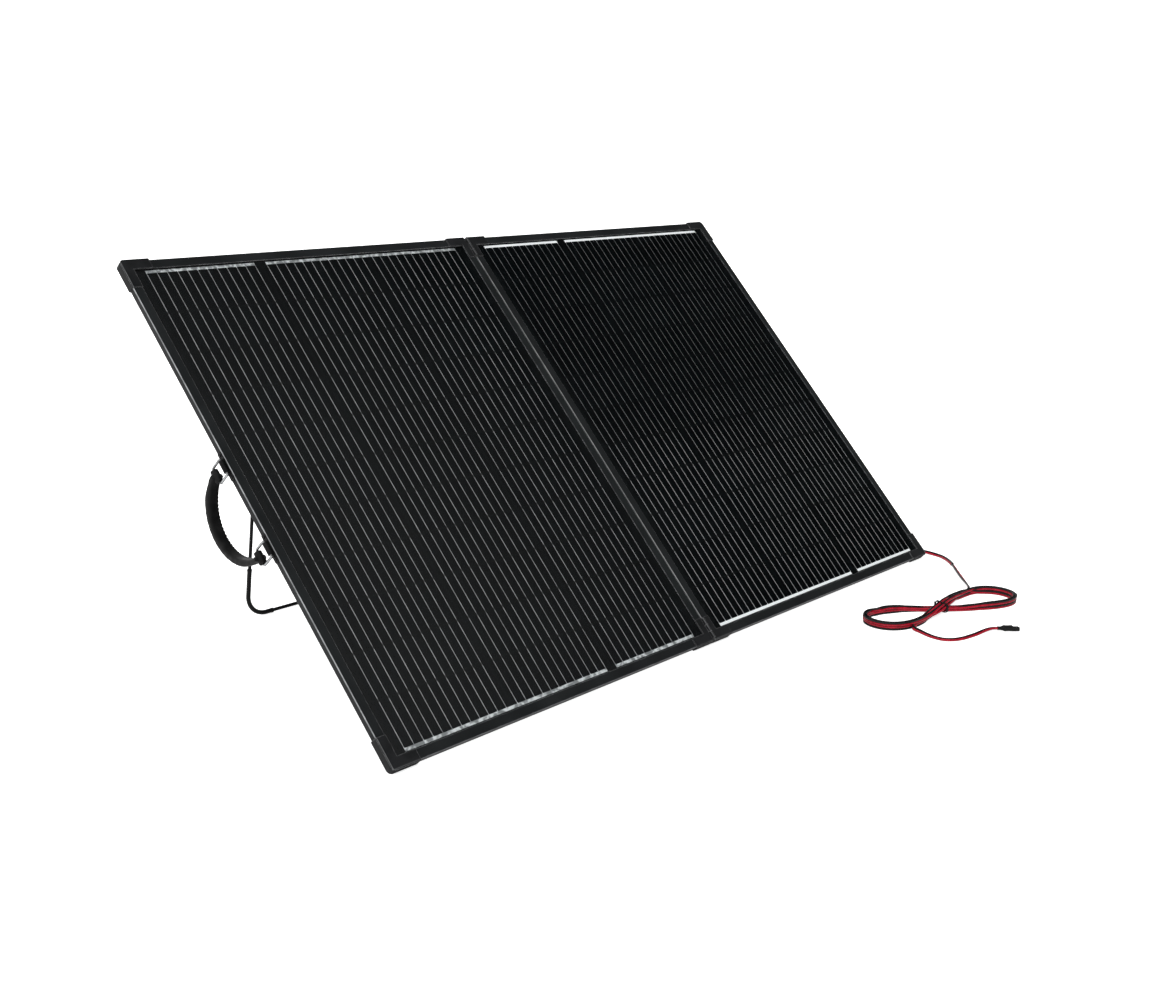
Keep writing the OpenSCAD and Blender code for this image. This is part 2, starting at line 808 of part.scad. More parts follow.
module handle_plates() {
    color(frame_colour) difference() {
        at_rings() difference() {
            union() {
                translate([plate_t / 2, 0, 0])
                    rotate([0, 90, 0])
                        linear_extrude(plate_t, center = true)
                            soft_rect(frame_t - 0.6, plate_len, 3);
                translate([ring_out, 0, 0]) rod_s(ring_r + 1.6, 1 - ring_w / 2, ring_w - 2);
                translate([plate_t / 2, 1 - ring_w / 2, -ring_r - 1.6])
                    cube([ring_out - plate_t / 2, ring_w - 2, 1.6]);
            }
            translate([ring_out, 0, 0]) rod_s(ring_r + run_gap, -big / 2, big);
        }
        on_panel(left) handle_screw_places() screw_shank();
    }
}

module handle_screws() {
    color(steel_colour) on_panel(left) handle_screw_places() {
        rotate([0, 90, 0]) translate([0, 0, -5]) cylinder(r = 1.75, h = 5 + plate_t);
        rotate([0, 90, 0]) translate([0, 0, plate_t]) cylinder(r1 = 3, r2 = 2.2, h = 1.3);
    }
}

// One wire ring: near bar at the origin along Y, far bar ring_len behind it
module wire_ring() {
    half = ring_w / 2 + ring_r;
    bend = 3;
    for (z = [0, -ring_len])
        translate([0, 0, z]) rod_s(ring_r, bend - half, 2 * (half - bend));
    for (y = [-half, half])
        translate([0, y, bend - ring_len]) cylinder(r = ring_r, h = ring_len - 2 * bend);
    for (i = [-1, 1], j = [0, 1])
        translate([0, i * (half - bend), j == 1 ? -bend : bend - ring_len])
            rotate([0, 90, 0])
                rotate([0, 0, j == 1 ? (i == 1 ? 90 : 180) : (i == 1 ? 0 : 270)])
                    rotate_extrude(angle = 90) translate([bend, 0]) circle(ring_r);
}

module handle_rings() {
    color(steel_colour) at_rings() translate([ring_out, 0, 0]) wire_ring();
}

// Moulded grip: an arc with finger grooves, ending in an eye round each far bar
module handle_grip() {
    groove_step = 5;
    color(rubber_colour) on_panel(left)
        translate([panel_w + ring_out, handle_s, grip_centre_n])
            difference() {
                union() {
                    rotate([0, 90, 0]) rotate([0, 0, -grip_end])
                        rotate_extrude(angle = 2 * grip_end)
                            translate([grip_r, 0]) soft_rect(grip_w, grip_t, 3);
                    for (i = [-1, 1])
                        translate([0, i * ring_half, far_bar_n - grip_centre_n])
                            rod_s(grip_t / 2, -grip_w / 2, grip_w);
                }
                for (i = [-1, 1])
                    translate([0, i * ring_half, far_bar_n - grip_centre_n])
                        rod_s(ring_r + run_gap, -big / 2, big);
                for (a = [-50:groove_step:50])
                    rotate([0, 90, 0]) rotate([0, 0, a])
                        translate([grip_r - grip_w / 2, 0, 0])
                            rotate([0, 0, 45]) cube([groove_d * 1.4, groove_d * 1.4, big], center = true);
            }
}

// ---------------------------------------------------------------- cables

module panel_cable(route, w, t) {
    translate([-seam_gap / 2, 0, 0]) cable(route, w, t, [0, 0, 1]);
}

module output_cable() {
    color(rubber_colour) on_panel(right) panel_cable(output_route, cord_w, cord_t);
}

// Saddle on the back of the lower outer cap, and clips on the backsheet, that
// hold the output cable
module cable_clamp() {
    cap_back = -frame_t - cap_proud;
    color(cap_colour) on_panel(right) {
        translate([saddle_x - seam_gap / 2, 8, 0]) difference() {
            translate([-5, -6, cap_back - cord_t - 2]) cube([10, 23, cord_t + 2]);
            translate([-6, 0.2, cap_back - cord_t - 0.6]) cube([12, 11, cord_t + 1]);
        }
        for (s = clip_places) translate([run_x - seam_gap / 2, s, back_n]) cable_clip();
    }
}

module cable_clip() {
    inside = cord_w + 0.6;
    rotate([-90, 0, 0]) translate([0, 0, -4]) linear_extrude(8) difference() {
        translate([-inside / 2 - 3, 0]) square([inside + 6, cord_t + 1.4]);
        translate([-inside / 2, -1]) square([inside, cord_t + 1.2]);
    }
}

// Tapered strain relief where the cable leaves the panel
module strain_relief() {
    height = cord_t + 0.1;
    color(rubber_colour) on_panel(right)
        translate([relief_x - seam_gap / 2 + 0.05, exit_s, exit_n])
            hull() {
                rotate([90, 0, 90]) linear_extrude(8) soft_rect(cord_w * 1.5, height, 1.8);
                translate([exit_x - relief_x - 1.1, 0, 0])
                    rotate([90, 0, 90]) linear_extrude(1) soft_rect(cord_w + 0.4, height, 1.8);
            }
}

function link_half() = [
    [panel_w / 2 - jbox_w / 2 + seam_gap / 2, jbox_s, link_n], [link_turn + 40, jbox_s, link_n],
    [link_turn + 22, jbox_s, link_n], [link_turn + 8, jbox_s, link_n - 1],
    [link_turn - 2, jbox_s, link_back_n + 0.6], [link_turn - 8, jbox_s, link_back_n],
    [link_turn - 12, jbox_s, link_back_n]];

module link_cable(side) {
    color(rubber_colour) on_panel(side) panel_cable(link_half(), link_d, link_d);
}

// The short loop that bends across the seam when the panels fold
module link_loop() {
    end = link_turn - 12;
    color(rubber_colour) on_seam()
        cable([for (x = [-end:7:end]) [x, jbox_s, link_back_n]], link_d, link_d, [0, 0, 1]);
}

module cord_lead() {
    color(cable_red) cable(lead_route, cord_w, cord_t, [0, 0, 1]);
}

module cord_tail() {
    color(cable_red) cable(tail_route, cord_w, cord_t, [0, 0, 1]);
}

// Figure-of-eight outline of the bundle: two lobes and a waist
function bundle_outer() = [for (t = [0:10:350])
    [(bundle_a + bundle_band) * cos(t),
     sign(sin(t)) * max(bundle_waist, (bundle_b + bundle_band) * abs(sin(2 * t)))]];
function bundle_lobe() = [for (t = [-80:10:80])
    [0.62 * bundle_a + 0.66 * (bundle_a * cos(t) - 0.62 * bundle_a),
     0.74 * bundle_b * sin(2 * t)]];

module on_bundle() {
    translate(bundle_at) rotate([0, 0, bundle_turn]) children();
}

module cord_bundle() {
    color(cable_red) on_bundle() difference() {
        linear_extrude(bundle_h) difference() {
            polygon(bundle_outer());
            polygon(bundle_lobe());
            mirror([1, 0]) polygon(bundle_lobe());
        }
        translate([-tie_w / 2, -big, -1]) cube([tie_w, 2 * big, 1 + tie_t]);
    }
}

module cord_tie() {
    inside = bundle_waist + 0.5;
    side = inside + tie_t;
    color(rubber_colour) on_bundle() difference() {
        translate([-tie_w / 2, -side, 0]) cube([tie_w, 2 * side, bundle_h + tie_t]);
        translate([-tie_w, -inside, tie_t]) cube([2 * tie_w, 2 * inside, bundle_h - tie_t]);
    }
}

// ---------------------------------------------------------------- plug

// Two-pole flat plug: one bare pin and one shrouded socket, side by side
module on_plug() {
    translate(plug_at) rotate([0, 0, plug_turn]) children();
}

module plug_body() {
    color(rubber_colour) on_plug() difference() {
        union() {
            hull() {
                rotate([90, 0, 90]) linear_extrude(1) scale([1, 0.6]) circle(d = cord_w + 1, $fn = 24);
                translate([neck_len, -plug_pitch / 2 - 1, -3]) cube([0.1, plug_pitch + 2, 6]);
            }
            for (i = [-1, 1])
                translate([neck_len + body_len / 2, i * plug_pitch / 2, 0]) rod_x(plug_r, body_len);
            translate([neck_len, -plug_pitch / 2, -plug_r]) cube([body_len, plug_pitch, 2 * plug_r]);
            translate([plug_front + plug_pin_len / 2 - eps, -plug_pitch / 2, 0])
                rod_x(plug_r, plug_pin_len + 2 * eps);
        }
        translate([plug_front - pin_root / 2 + eps, plug_pitch / 2, 0])
            rod_x(socket_tube_r, pin_root + 2 * eps);
        translate([plug_front + plug_pin_len, -plug_pitch / 2, 0])
            rod_x(socket_tube_r, 2 * plug_pin_len + 6);
    }
}

module plug_contacts() {
    color(steel_colour) on_plug() {
        translate([plug_front - pin_root / 2, plug_pitch / 2, 0])
            rod_x(socket_tube_r, pin_root - 2 * eps);
        translate([plug_front + plug_pin_len / 2 - eps, plug_pitch / 2, 0])
            rod_x(plug_pin_r, plug_pin_len + 2 * eps);
        difference() {
            translate([plug_front + plug_pin_len / 2 - 2, -plug_pitch / 2, 0])
                rod_x(socket_tube_r, plug_pin_len + 2);
            translate([plug_front + plug_pin_len / 2, -plug_pitch / 2, 0])
                rod_x(plug_pin_r + run_gap, plug_pin_len + 4);
        }
    }
}

// ---------------------------------------------------------------- nodes

top_rail(right);  // right_top_rail
bottom_rail(right);  // right_bottom_rail
outer_rail(right);  // right_outer_rail
inner_rail(right);  // right_inner_rail
corner_keys(right);  // right_corner_keys
glass(right);  // right_glass
cells(right);  // right_cells
tabbing(right);  // right_tabbing
encapsulant(right);  // right_encapsulant
backsheet(right);  // right_backsheet
outer_cap(right, true);  // right_top_cap
outer_cap(right, false);  // right_bottom_cap
fold_cap(right, true);  // right_top_hinge_cap
fold_cap(right, false);  // right_bottom_hinge_cap
junction_box(right);  // right_junction_box
junction_lid(right);  // right_junction_lid
leg_brackets(right);  // right_leg_brackets
bracket_rivets(right);  // right_bracket_rivets
leg_pins(right);  // right_leg_pins
leg_rod(right);  // right_leg_rod
leg_sleeves(right);  // right_leg_sleeves
top_rail(left);  // left_top_rail
bottom_rail(left);  // left_bottom_rail
outer_rail(left);  // left_outer_rail
inner_rail(left);  // left_inner_rail
corner_keys(left);  // left_corner_keys
glass(left);  // left_glass
cells(left);  // left_cells
tabbing(left);  // left_tabbing
encapsulant(left);  // left_encapsulant
backsheet(left);  // left_backsheet
outer_cap(left, true);  // left_top_cap
outer_cap(left, false);  // left_bottom_cap
fold_cap(left, true);  // left_top_hinge_cap
fold_cap(left, false);  // left_bottom_hinge_cap
junction_box(left);  // left_junction_box
junction_lid(left);  // left_junction_lid
leg_brackets(left);  // left_leg_brackets
bracket_rivets(left);  // left_bracket_rivets
leg_pins(left);  // left_leg_pins
leg_rod(left);  // left_leg_rod
leg_sleeves(left);  // left_leg_sleeves
hinge_pins();
handle_plates();
handle_screws();
handle_rings();
handle_grip();
output_cable();
cable_clamp();
strain_relief();
link_cable(right);  // right_link_cable
link_cable(left);  // left_link_cable
link_loop();
cord_lead();
cord_bundle();
cord_tail();
cord_tie();
plug_body();
plug_contacts();
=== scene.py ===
import json
import math
import bpy
from mathutils import Matrix, Vector


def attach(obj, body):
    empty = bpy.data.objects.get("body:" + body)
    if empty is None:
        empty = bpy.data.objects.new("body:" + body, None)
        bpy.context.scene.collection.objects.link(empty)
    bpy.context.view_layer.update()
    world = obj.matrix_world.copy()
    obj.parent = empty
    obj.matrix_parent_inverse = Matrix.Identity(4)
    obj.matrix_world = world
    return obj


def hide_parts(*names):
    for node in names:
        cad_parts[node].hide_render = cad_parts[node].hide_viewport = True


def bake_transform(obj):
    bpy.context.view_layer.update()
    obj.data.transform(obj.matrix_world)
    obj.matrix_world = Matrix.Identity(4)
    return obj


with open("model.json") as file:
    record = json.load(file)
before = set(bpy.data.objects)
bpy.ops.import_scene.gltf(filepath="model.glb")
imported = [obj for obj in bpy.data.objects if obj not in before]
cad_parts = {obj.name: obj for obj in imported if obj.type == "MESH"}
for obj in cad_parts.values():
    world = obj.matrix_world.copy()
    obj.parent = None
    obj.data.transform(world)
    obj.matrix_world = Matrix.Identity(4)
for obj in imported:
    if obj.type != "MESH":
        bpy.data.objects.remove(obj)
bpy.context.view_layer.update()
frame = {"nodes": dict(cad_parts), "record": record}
NODES = frame["nodes"]

# Sizes shared with the CAD model, in metres
TILT = math.radians(47.4)
C, S = math.cos(TILT), math.sin(TILT)
SEAM_X, EDGE_Y, EDGE_Z = 0.00475, -0.340749, 0.008888
PANEL_W, PANEL_H, SEAM_GAP = 0.694, 0.850, 0.002
FRAME_LIP = 0.0082              # from a panel's edge to its glass
ROW_PITCH, ROW_GAP = 0.073, 0.003
STRING_PITCH, FIELD_S = 0.215, 0.025
MM = 0.001
UP = Vector((0, 0, 1))
BEHIND = Vector((0.74, 0.67, 0))  # level, from the front left towards the far right

# The painted highlight line along the panels' front edges, and the printed fingers of the cells
EDGE_LINE = 0.001
FINGER_PITCH, FINGER_SHARE = 0.0014, 0.07


def slope(x, s, n):
    """A point given from the seam, up the slope and out of the front, in the row frame."""
    return Vector((x + SEAM_X, EDGE_Y + s * C - n * S, EDGE_Z + s * S + n * C))


def slope_dir(x, s, n):
    return Vector((x, s * C - n * S, s * S + n * C))


# ---------------------------------------------------------------- mesh helpers

def new_mesh(name, verts, faces, smooth=True, face_mats=None, mats=()):
    mesh = bpy.data.meshes.new(name)
    mesh.from_pydata([tuple(v) for v in verts], [], faces)
    for m in mats:
        mesh.materials.append(m)
    for i, p in enumerate(mesh.polygons):
        p.use_smooth = smooth
        if face_mats:
            p.material_index = face_mats[i]
    mesh.update()
    obj = bpy.data.objects.new(name, mesh)
    bpy.context.scene.collection.objects.link(obj)
    return obj


def smooth_path(points, step):
    """Points every step along a centripetal spline through the given ones."""
    p = [Vector(q) for q in points]
    p = [2 * p[0] - p[1]] + p + [2 * p[-1] - p[-2]]
    dense = []
    for i in range(1, len(p) - 2):
        a, b, c, d = p[i - 1:i + 3]
        t1 = (b - a).length ** 0.5
        t2 = t1 + (c - b).length ** 0.5
        t3 = t2 + (d - c).length ** 0.5
        parts = max(2, int((c - b).length / step * 2))
        for j in range(parts):
            t = t1 + (t2 - t1) * j / parts
            a1 = a.lerp(b, t / t1)
            a2 = b.lerp(c, (t - t1) / (t2 - t1))
            a3 = c.lerp(d, (t - t2) / (t3 - t2))
            b1 = a1.lerp(a2, t / t2)
            b2 = a2.lerp(a3, (t - t1) / (t3 - t1))
            dense.append(b1.lerp(b2, (t - t1) / (t2 - t1)))
    dense.append(p[-2])
    return dense


def headings(path):
    last = len(path) - 1
    return [(path[min(i + 1, last)] - path[max(i - 1, 0)]).normalized() for i in range(len(path))]


def lengths(path):
    total, out = 0.0, [0.0]
    for a, b in zip(path, path[1:]):
        total += (b - a).length
        out.append(total)
    return out


def grid_faces(rows, cols, close_cols=True, close_rows=False, start=0):
    faces = []
    for i in range(rows if close_rows else rows - 1):
        for k in range(cols if close_cols else cols - 1):
            a, b = i * cols + k, i * cols + (k + 1) % cols
            c = ((i + 1) % rows) * cols + (k + 1) % cols
            d = ((i + 1) % rows) * cols + k
            faces.append((start + b, start + a, start + d, start + c))
    return faces


def twin_cable(name, path, rolls, half, radius, black, red, up=None, sides=14):
    """Flat two-core cable. A roll of 90 degrees stands it on edge, with the black core on top."""
    verts, faces, which = [], [], []
    dirs = headings(path)
    up = up or UP
    for core in (1, -1):
        start = len(verts)
        for p, d, roll in zip(path, dirs, rolls):
            side = d.cross(up).normalized()
            if up == UP and side.dot(BEHIND) < 0:
                side = -side
            lift = d.cross(side).normalized()
            lift = lift if lift.dot(up) > 0 else -lift
            e = side * math.cos(roll) + lift * math.sin(roll)
            f = d.cross(e).normalized()
            centre = p + e * half * core
            for k in range(sides):
                a = 2 * math.pi * (k + 0.5) / sides
                verts.append(centre + e * radius * math.cos(a) + f * radius * math.sin(a))
        made = grid_faces(len(path), sides, start=start)
        made.append(tuple(start + k for k in range(sides)))
        made.append(tuple(start + (len(path) - 1) * sides + k for k in reversed(range(sides))))
        faces += made
        which += [0 if core == 1 else 1] * len(made)
    return new_mesh(name, verts, faces, face_mats=which, mats=(black, red))


def swept(name, path, section, mats, up=UP, close=False):
    """A closed section(i, share) of (side, lift) pairs carried along path."""
    verts, dirs = [], headings(path)
    if close:
        n = len(path)
        dirs = [(path[(i + 1) % n] - path[i - 1]).normalized() for i in range(n)]
    cols = 0
    for i, (p, d) in enumerate(zip(path, dirs)):
        side = d.cross(up).normalized()
        lift = side.cross(d).normalized()
        ring = section(i, i / (len(path) - 1))
        cols = len(ring)
        verts += [p + side * a + lift * b for a, b in ring]
    faces = grid_faces(len(path), cols, close_rows=close)
    if not close:
        faces.append(tuple(range(cols)))
        faces.append(tuple((len(path) - 1) * cols + k for k in reversed(range(cols))))
    return new_mesh(name, verts, faces, mats=mats)


def circle(radius, sides=20):
    return [(radius * math.cos(2 * math.pi * k / sides), radius * math.sin(2 * math.pi * k / sides))
            for k in range(sides)]


def soft_section(half_w, half_h, power=4.0, sides=28):
    """A rectangle with very soft corners."""
    out = []
    for k in range(sides):
        a = 2 * math.pi * (k + 0.5) / sides
        c, s = math.cos(a), math.sin(a)
        out.append((half_w * math.copysign(abs(c) ** (2 / power), c),
                    half_h * math.copysign(abs(s) ** (2 / power), s)))
    return out


def join(name, objs):
    """One piece from several meshes."""
    verts, faces, which, mats, smooth = [], [], [], [], []
    for o in objs:
        base = len(verts)
        verts += [o.matrix_world @ v.co for v in o.data.vertices]
        slots = []
        for m in o.data.materials:
            if m not in mats:
                mats.append(m)
            slots.append(mats.index(m))
        for p in o.data.polygons:
            faces.append(tuple(base + v for v in p.vertices))
            which.append(slots[p.material_index])
            smooth.append(p.use_smooth)
        bpy.data.objects.remove(o)
    made = new_mesh(name, verts, faces, face_mats=which, mats=mats)
    for p, s in zip(made.data.polygons, smooth):
        p.use_smooth = s
    return made


# ---------------------------------------------------------------- material helpers

class Shader:
    """A material with one Principled shader and short ways to add nodes."""

    def __init__(self, name, colour, rough, **sockets):
        self.mat = bpy.data.materials.new(name)
        self.mat.use_nodes = True
        self.tree = self.mat.node_tree
        self.bsdf = self.tree.nodes["Principled BSDF"]
        self.bsdf.inputs["Base Color"].default_value = (*colour, 1)
        self.bsdf.inputs["Roughness"].default_value = rough
        for key, value in sockets.items():
            self.bsdf.inputs[key.replace("_", " ")].default_value = value

    def node(self, kind, **values):
        n = self.tree.nodes.new(kind)
        for key, value in values.items():
            setattr(n, key, value)
        return n

    def link(self, a, b):
        self.tree.links.new(a, b)

    def coords(self):
        return self.node("ShaderNodeTexCoord").outputs["Object"]

    def panel_coords(self):
        """X from the seam, Y up the slope, Z out of the front, in metres."""
        m = self.node("ShaderNodeMapping", vector_type="TEXTURE")
        m.inputs["Location"].default_value = (SEAM_X, EDGE_Y, EDGE_Z)
        m.inputs["Rotation"].default_value = (TILT, 0, 0)
        self.link(self.coords(), m.inputs["Vector"])
        return m.outputs["Vector"]

    def noise(self, scale, detail=3.0, stretch=None, vector=None, rough=0.5):
        n = self.node("ShaderNodeTexNoise")
        n.inputs["Scale"].default_value = scale
        n.inputs["Detail"].default_value = detail
        n.inputs["Roughness"].default_value = rough
        v = vector or self.coords()
        if stretch:
            m = self.node("ShaderNodeMapping")
            m.inputs["Scale"].default_value = stretch
            self.link(v, m.inputs["Vector"])
            v = m.outputs["Vector"]
        self.link(v, n.inputs["Vector"])
        return n.outputs["Fac"]

    def span(self, value, lo, hi, out_lo, out_hi):
        m = self.node("ShaderNodeMapRange", interpolation_type="SMOOTHSTEP")
        for key, v in zip(("From Min", "From Max", "To Min", "To Max"), (lo, hi, out_lo, out_hi)):
            m.inputs[key].default_value = v
        self.link(value, m.inputs["Value"])
        return m.outputs["Result"]

    def math(self, op, a, b=None, c=None):
        m = self.node("ShaderNodeMath", operation=op)
        for i, v in enumerate((a, b, c)):
            if v is None:
                continue
            if isinstance(v, (int, float)):
                m.inputs[i].default_value = v
            else:
                self.link(v, m.inputs[i])
        return m.outputs[0]

    def mix(self, factor, a, b):
        m = self.node("ShaderNodeMix", data_type="RGBA")
        self.link(factor, m.inputs["Factor"])
        for key, v in (("A", a), ("B", b)):
            socket = [s for s in m.inputs if s.name == key and s.type == "RGBA"][0]
            if isinstance(v, tuple):
                socket.default_value = (*v, 1)
            else:
                self.link(v, socket)
        return [s for s in m.outputs if s.type == "RGBA"][0]

    def colour(self, socket):
        self.link(socket, self.bsdf.inputs["Base Color"])
        return self

    def roughness(self, socket):
        self.link(socket, self.bsdf.inputs["Roughness"])
        return self

    def bump(self, height, strength, distance):
        b = self.node("ShaderNodeBump")
        b.inputs["Strength"].default_value = strength
        b.inputs["Distance"].default_value = distance
        self.link(height, b.inputs["Height"])
        self.link(b.outputs["Normal"], self.bsdf.inputs["Normal"])
        return self

    def edges(self, radius):
        """1 along sharp edges, 0 on flats."""
        bevel = self.node("ShaderNodeBevel", samples=4)
        bevel.inputs["Radius"].default_value = radius
        flat = self.node("ShaderNodeNewGeometry")
        dot = self.node("ShaderNodeVectorMath", operation="DOT_PRODUCT")
        self.link(bevel.outputs["Normal"], dot.inputs[0])
        self.link(flat.outputs["Normal"], dot.inputs[1])
        return self.span(dot.outputs["Value"], 0.85, 0.995, 1.0, 0.0)


    def front_highlight_line(self):
        """Painted highlight: 1 along the panels' front edges at the outside, the seam and the bottom,
        lightened to stand in for light catching them.
        """
        xyz = self.node("ShaderNodeSeparateXYZ")
        self.link(self.panel_coords(), xyz.inputs[0])
        across = self.math("ABSOLUTE", xyz.outputs["X"])
        lines = []
        # Painted highlight strength set per edge by how the light falls: full at the outside, less at the
        # seam, least at the bottom
        for value, place, strength in ((across, SEAM_GAP / 2 + PANEL_W - EDGE_LINE / 2, 1.0),
                                       (across, SEAM_GAP / 2 + EDGE_LINE / 2, 0.6),
                                       (xyz.outputs["Y"], EDGE_LINE / 2, 0.35)):
            away = self.math("ABSOLUTE", self.math("SUBTRACT", value, place))
            lines.append(self.span(away, EDGE_LINE * 0.4, EDGE_LINE * 0.8, strength, 0.0))
        line = self.math("MAXIMUM", self.math("MAXIMUM", lines[0], lines[1]), lines[2])
        front = self.span(xyz.outputs["Z"], -1.6 * EDGE_LINE, -0.6 * EDGE_LINE, 0.0, 1.0)
        return self.math("MULTIPLY", self.math("MULTIPLY", line, front),
                         self.span(self.noise(45, 4), 0.3, 0.7, 0.45, 1.0))


def frame_finish():
    m = Shader("frame_black_anodised", (0.010, 0.011, 0.012), 0.38, Specular_IOR_Level=0.15)
    grain = m.noise(900, 4, stretch=(1, 0.05, 0.05))
    cloud = m.noise(14, 3)
    body = m.mix(m.span(cloud, 0.3, 0.7, 0, 1), (0.0085, 0.0095, 0.0100), (0.0135, 0.0150, 0.0158))
    # Painted highlight: sharp edges, in noisy patches, and the front edge line are lightened to grey,
    # standing in for light catching them
    edge_highlight = m.math("MULTIPLY", m.edges(0.0009), m.span(m.noise(70, 5), 0.35, 0.65, 0.35, 1.0))
    edge_highlight = m.math("MAXIMUM", edge_highlight, m.front_highlight_line())
    m.colour(m.mix(edge_highlight, body, (0.36, 0.37, 0.38)))
    m.roughness(m.span(grain, 0.3, 0.7, 0.30, 0.46))
    return m.bump(grain, 0.18, 0.00008).mat


def cap_finish():
    m = Shader("cap_moulded_plastic", (0.010, 0.010, 0.011), 0.52, Specular_IOR_Level=0.15)
    grain = m.noise(2600, 3)
    patch = m.noise(40, 3)
    body = m.mix(m.span(patch, 0.3, 0.7, 0, 1), (0.0075, 0.0080, 0.0085), (0.0135, 0.0140, 0.0150))
    # Painted highlight: cap edges, in noisy patches, and the front edge line are lightened to grey, standing
    # in for light catching them
    cap_edge_highlight = m.math("MULTIPLY", m.edges(0.0010), m.span(m.noise(160, 4), 0.3, 0.7, 0.3, 1.0))
    cap_edge_highlight = m.math("MAXIMUM", cap_edge_highlight, m.math("MULTIPLY", m.front_highlight_line(), 0.6))
    m.colour(m.mix(cap_edge_highlight, body, (0.26, 0.265, 0.27)))
    m.roughness(m.span(patch, 0.25, 0.75, 0.42, 0.60))
    return m.bump(grain, 0.35, 0.00012).mat


def black_steel_finish():
    m = Shader("powder_coat_black", (0.006, 0.006, 0.007), 0.36, Specular_IOR_Level=0.15)
    peel = m.noise(700, 2)
    m.colour(m.mix(m.span(m.noise(60, 4), 0.3, 0.7, 0, 1), (0.004, 0.004, 0.0045), (0.009, 0.009, 0.0095)))
    m.roughness(m.span(peel, 0.3, 0.7, 0.28, 0.44))
    return m.bump(peel, 0.3, 0.0001).mat


def bright_steel_finish():
    m = Shader("nickel_plate", (0.42, 0.43, 0.44), 0.22, Metallic=1.0)
    dull = m.noise(130, 5)
    m.colour(m.mix(m.span(dull, 0.35, 0.75, 0, 1), (0.46, 0.47, 0.48), (0.26, 0.26, 0.26)))
    m.roughness(m.span(dull, 0.3, 0.75, 0.14, 0.40))
    return m.bump(m.noise(1800, 3), 0.12, 0.00005).mat


def mill_finish():
    m = Shader("mill_aluminium", (0.72, 0.73, 0.74), 0.35, Metallic=1.0)
    lines = m.noise(1200, 3, stretch=(1, 0.05, 1))
    m.colour(m.mix(lines, (0.62, 0.63, 0.64), (0.78, 0.79, 0.80)))
    m.roughness(m.span(lines, 0.3, 0.7, 0.28, 0.45))
    return m.bump(lines, 0.2, 0.00005).mat


def rubber_finish():
    m = Shader("soft_black_rubber", (0.007, 0.007, 0.007), 0.55, Specular_IOR_Level=0.18)
    skin = m.noise(1500, 4)
    dust = m.noise(50, 4)
    m.colour(m.mix(m.span(dust, 0.35, 0.75, 0, 1), (0.005, 0.005, 0.005), (0.012, 0.012, 0.012)))
    m.roughness(m.span(dust, 0.3, 0.7, 0.42, 0.64))
    return m.bump(skin, 0.25, 0.00012).mat


def jacket_finish(name, dark, light, rough):
    m = Shader(name, dark, rough, Specular_IOR_Level=0.3, Coat_Weight=0.08, Coat_Roughness=0.12)
    wave = m.noise(90, 3)
    m.colour(m.mix(m.span(wave, 0.3, 0.7, 0, 1), dark, light))
    m.roughness(m.span(m.noise(400, 4), 0.3, 0.7, rough - 0.05, rough + 0.1))
    return m.bump(m.noise(900, 3), 0.15, 0.0001).mat


def film_finish():
    m = Shader("black_laminate_film", (0.002, 0.0023, 0.0025), 0.5, Specular_IOR_Level=0.008)
    m.colour(m.mix(m.noise(60, 3), (0.0024, 0.0030, 0.0033), (0.0042, 0.0050, 0.0054)))
    m.roughness(m.span(m.noise(300, 3), 0.3, 0.7, 0.45, 0.6))
    return m.bump(m.noise(500, 3), 0.1, 0.0001).mat


def backsheet_finish():
    """Matt black polymer sheet with a fine embossed grain."""
    m = Shader("black_backsheet", (0.022, 0.023, 0.024), 0.5, Specular_IOR_Level=0.4)
    grain = m.noise(1100, 3)
    m.colour(m.mix(m.span(m.noise(9, 5), 0.3, 0.7, 0, 1), (0.018, 0.019, 0.020), (0.030, 0.031, 0.033)))
    m.roughness(m.span(m.noise(30, 4), 0.3, 0.7, 0.38, 0.58))
    return m.bump(grain, 0.3, 0.00012).mat


def cell_finish():
    """Blue-black wafers: each cell has its own shade, thin printed fingers run across it."""
    m = Shader("solar_cell_wafer", (0.002, 0.003, 0.0035), 0.34, Specular_IOR_Level=0.01)
    place = m.panel_coords()
    xyz = m.node("ShaderNodeSeparateXYZ")
    m.link(place, xyz.inputs[0])
    row = m.math("FLOOR", m.math("DIVIDE", m.math("SUBTRACT", xyz.outputs["Y"], FIELD_S), ROW_PITCH))
    string = m.math("FLOOR", m.math("DIVIDE", m.math("ADD", xyz.outputs["X"], 3.0), STRING_PITCH))
    both = m.node("ShaderNodeCombineXYZ")
    m.link(row, both.inputs["X"])
    m.link(string, both.inputs["Y"])
    dice = m.node("ShaderNodeTexWhiteNoise", noise_dimensions="2D")
    m.link(both.outputs["Vector"], dice.inputs["Vector"])
    shade = m.mix(dice.outputs["Value"], (0.0003, 0.0007, 0.0010), (0.0009, 0.0016, 0.0020))
    finger = m.math("FRACT", m.math("DIVIDE", xyz.outputs["Y"], FINGER_PITCH))
    line = m.math("LESS_THAN", finger, FINGER_SHARE)
    m.colour(m.mix(m.math("MULTIPLY", line, 0.35), shade, (0.05, 0.055, 0.058)))
    m.roughness(m.span(m.noise(220, 4), 0.3, 0.7, 0.28, 0.42))
    return m.bump(m.noise(2500, 2), 0.08, 0.00004).mat


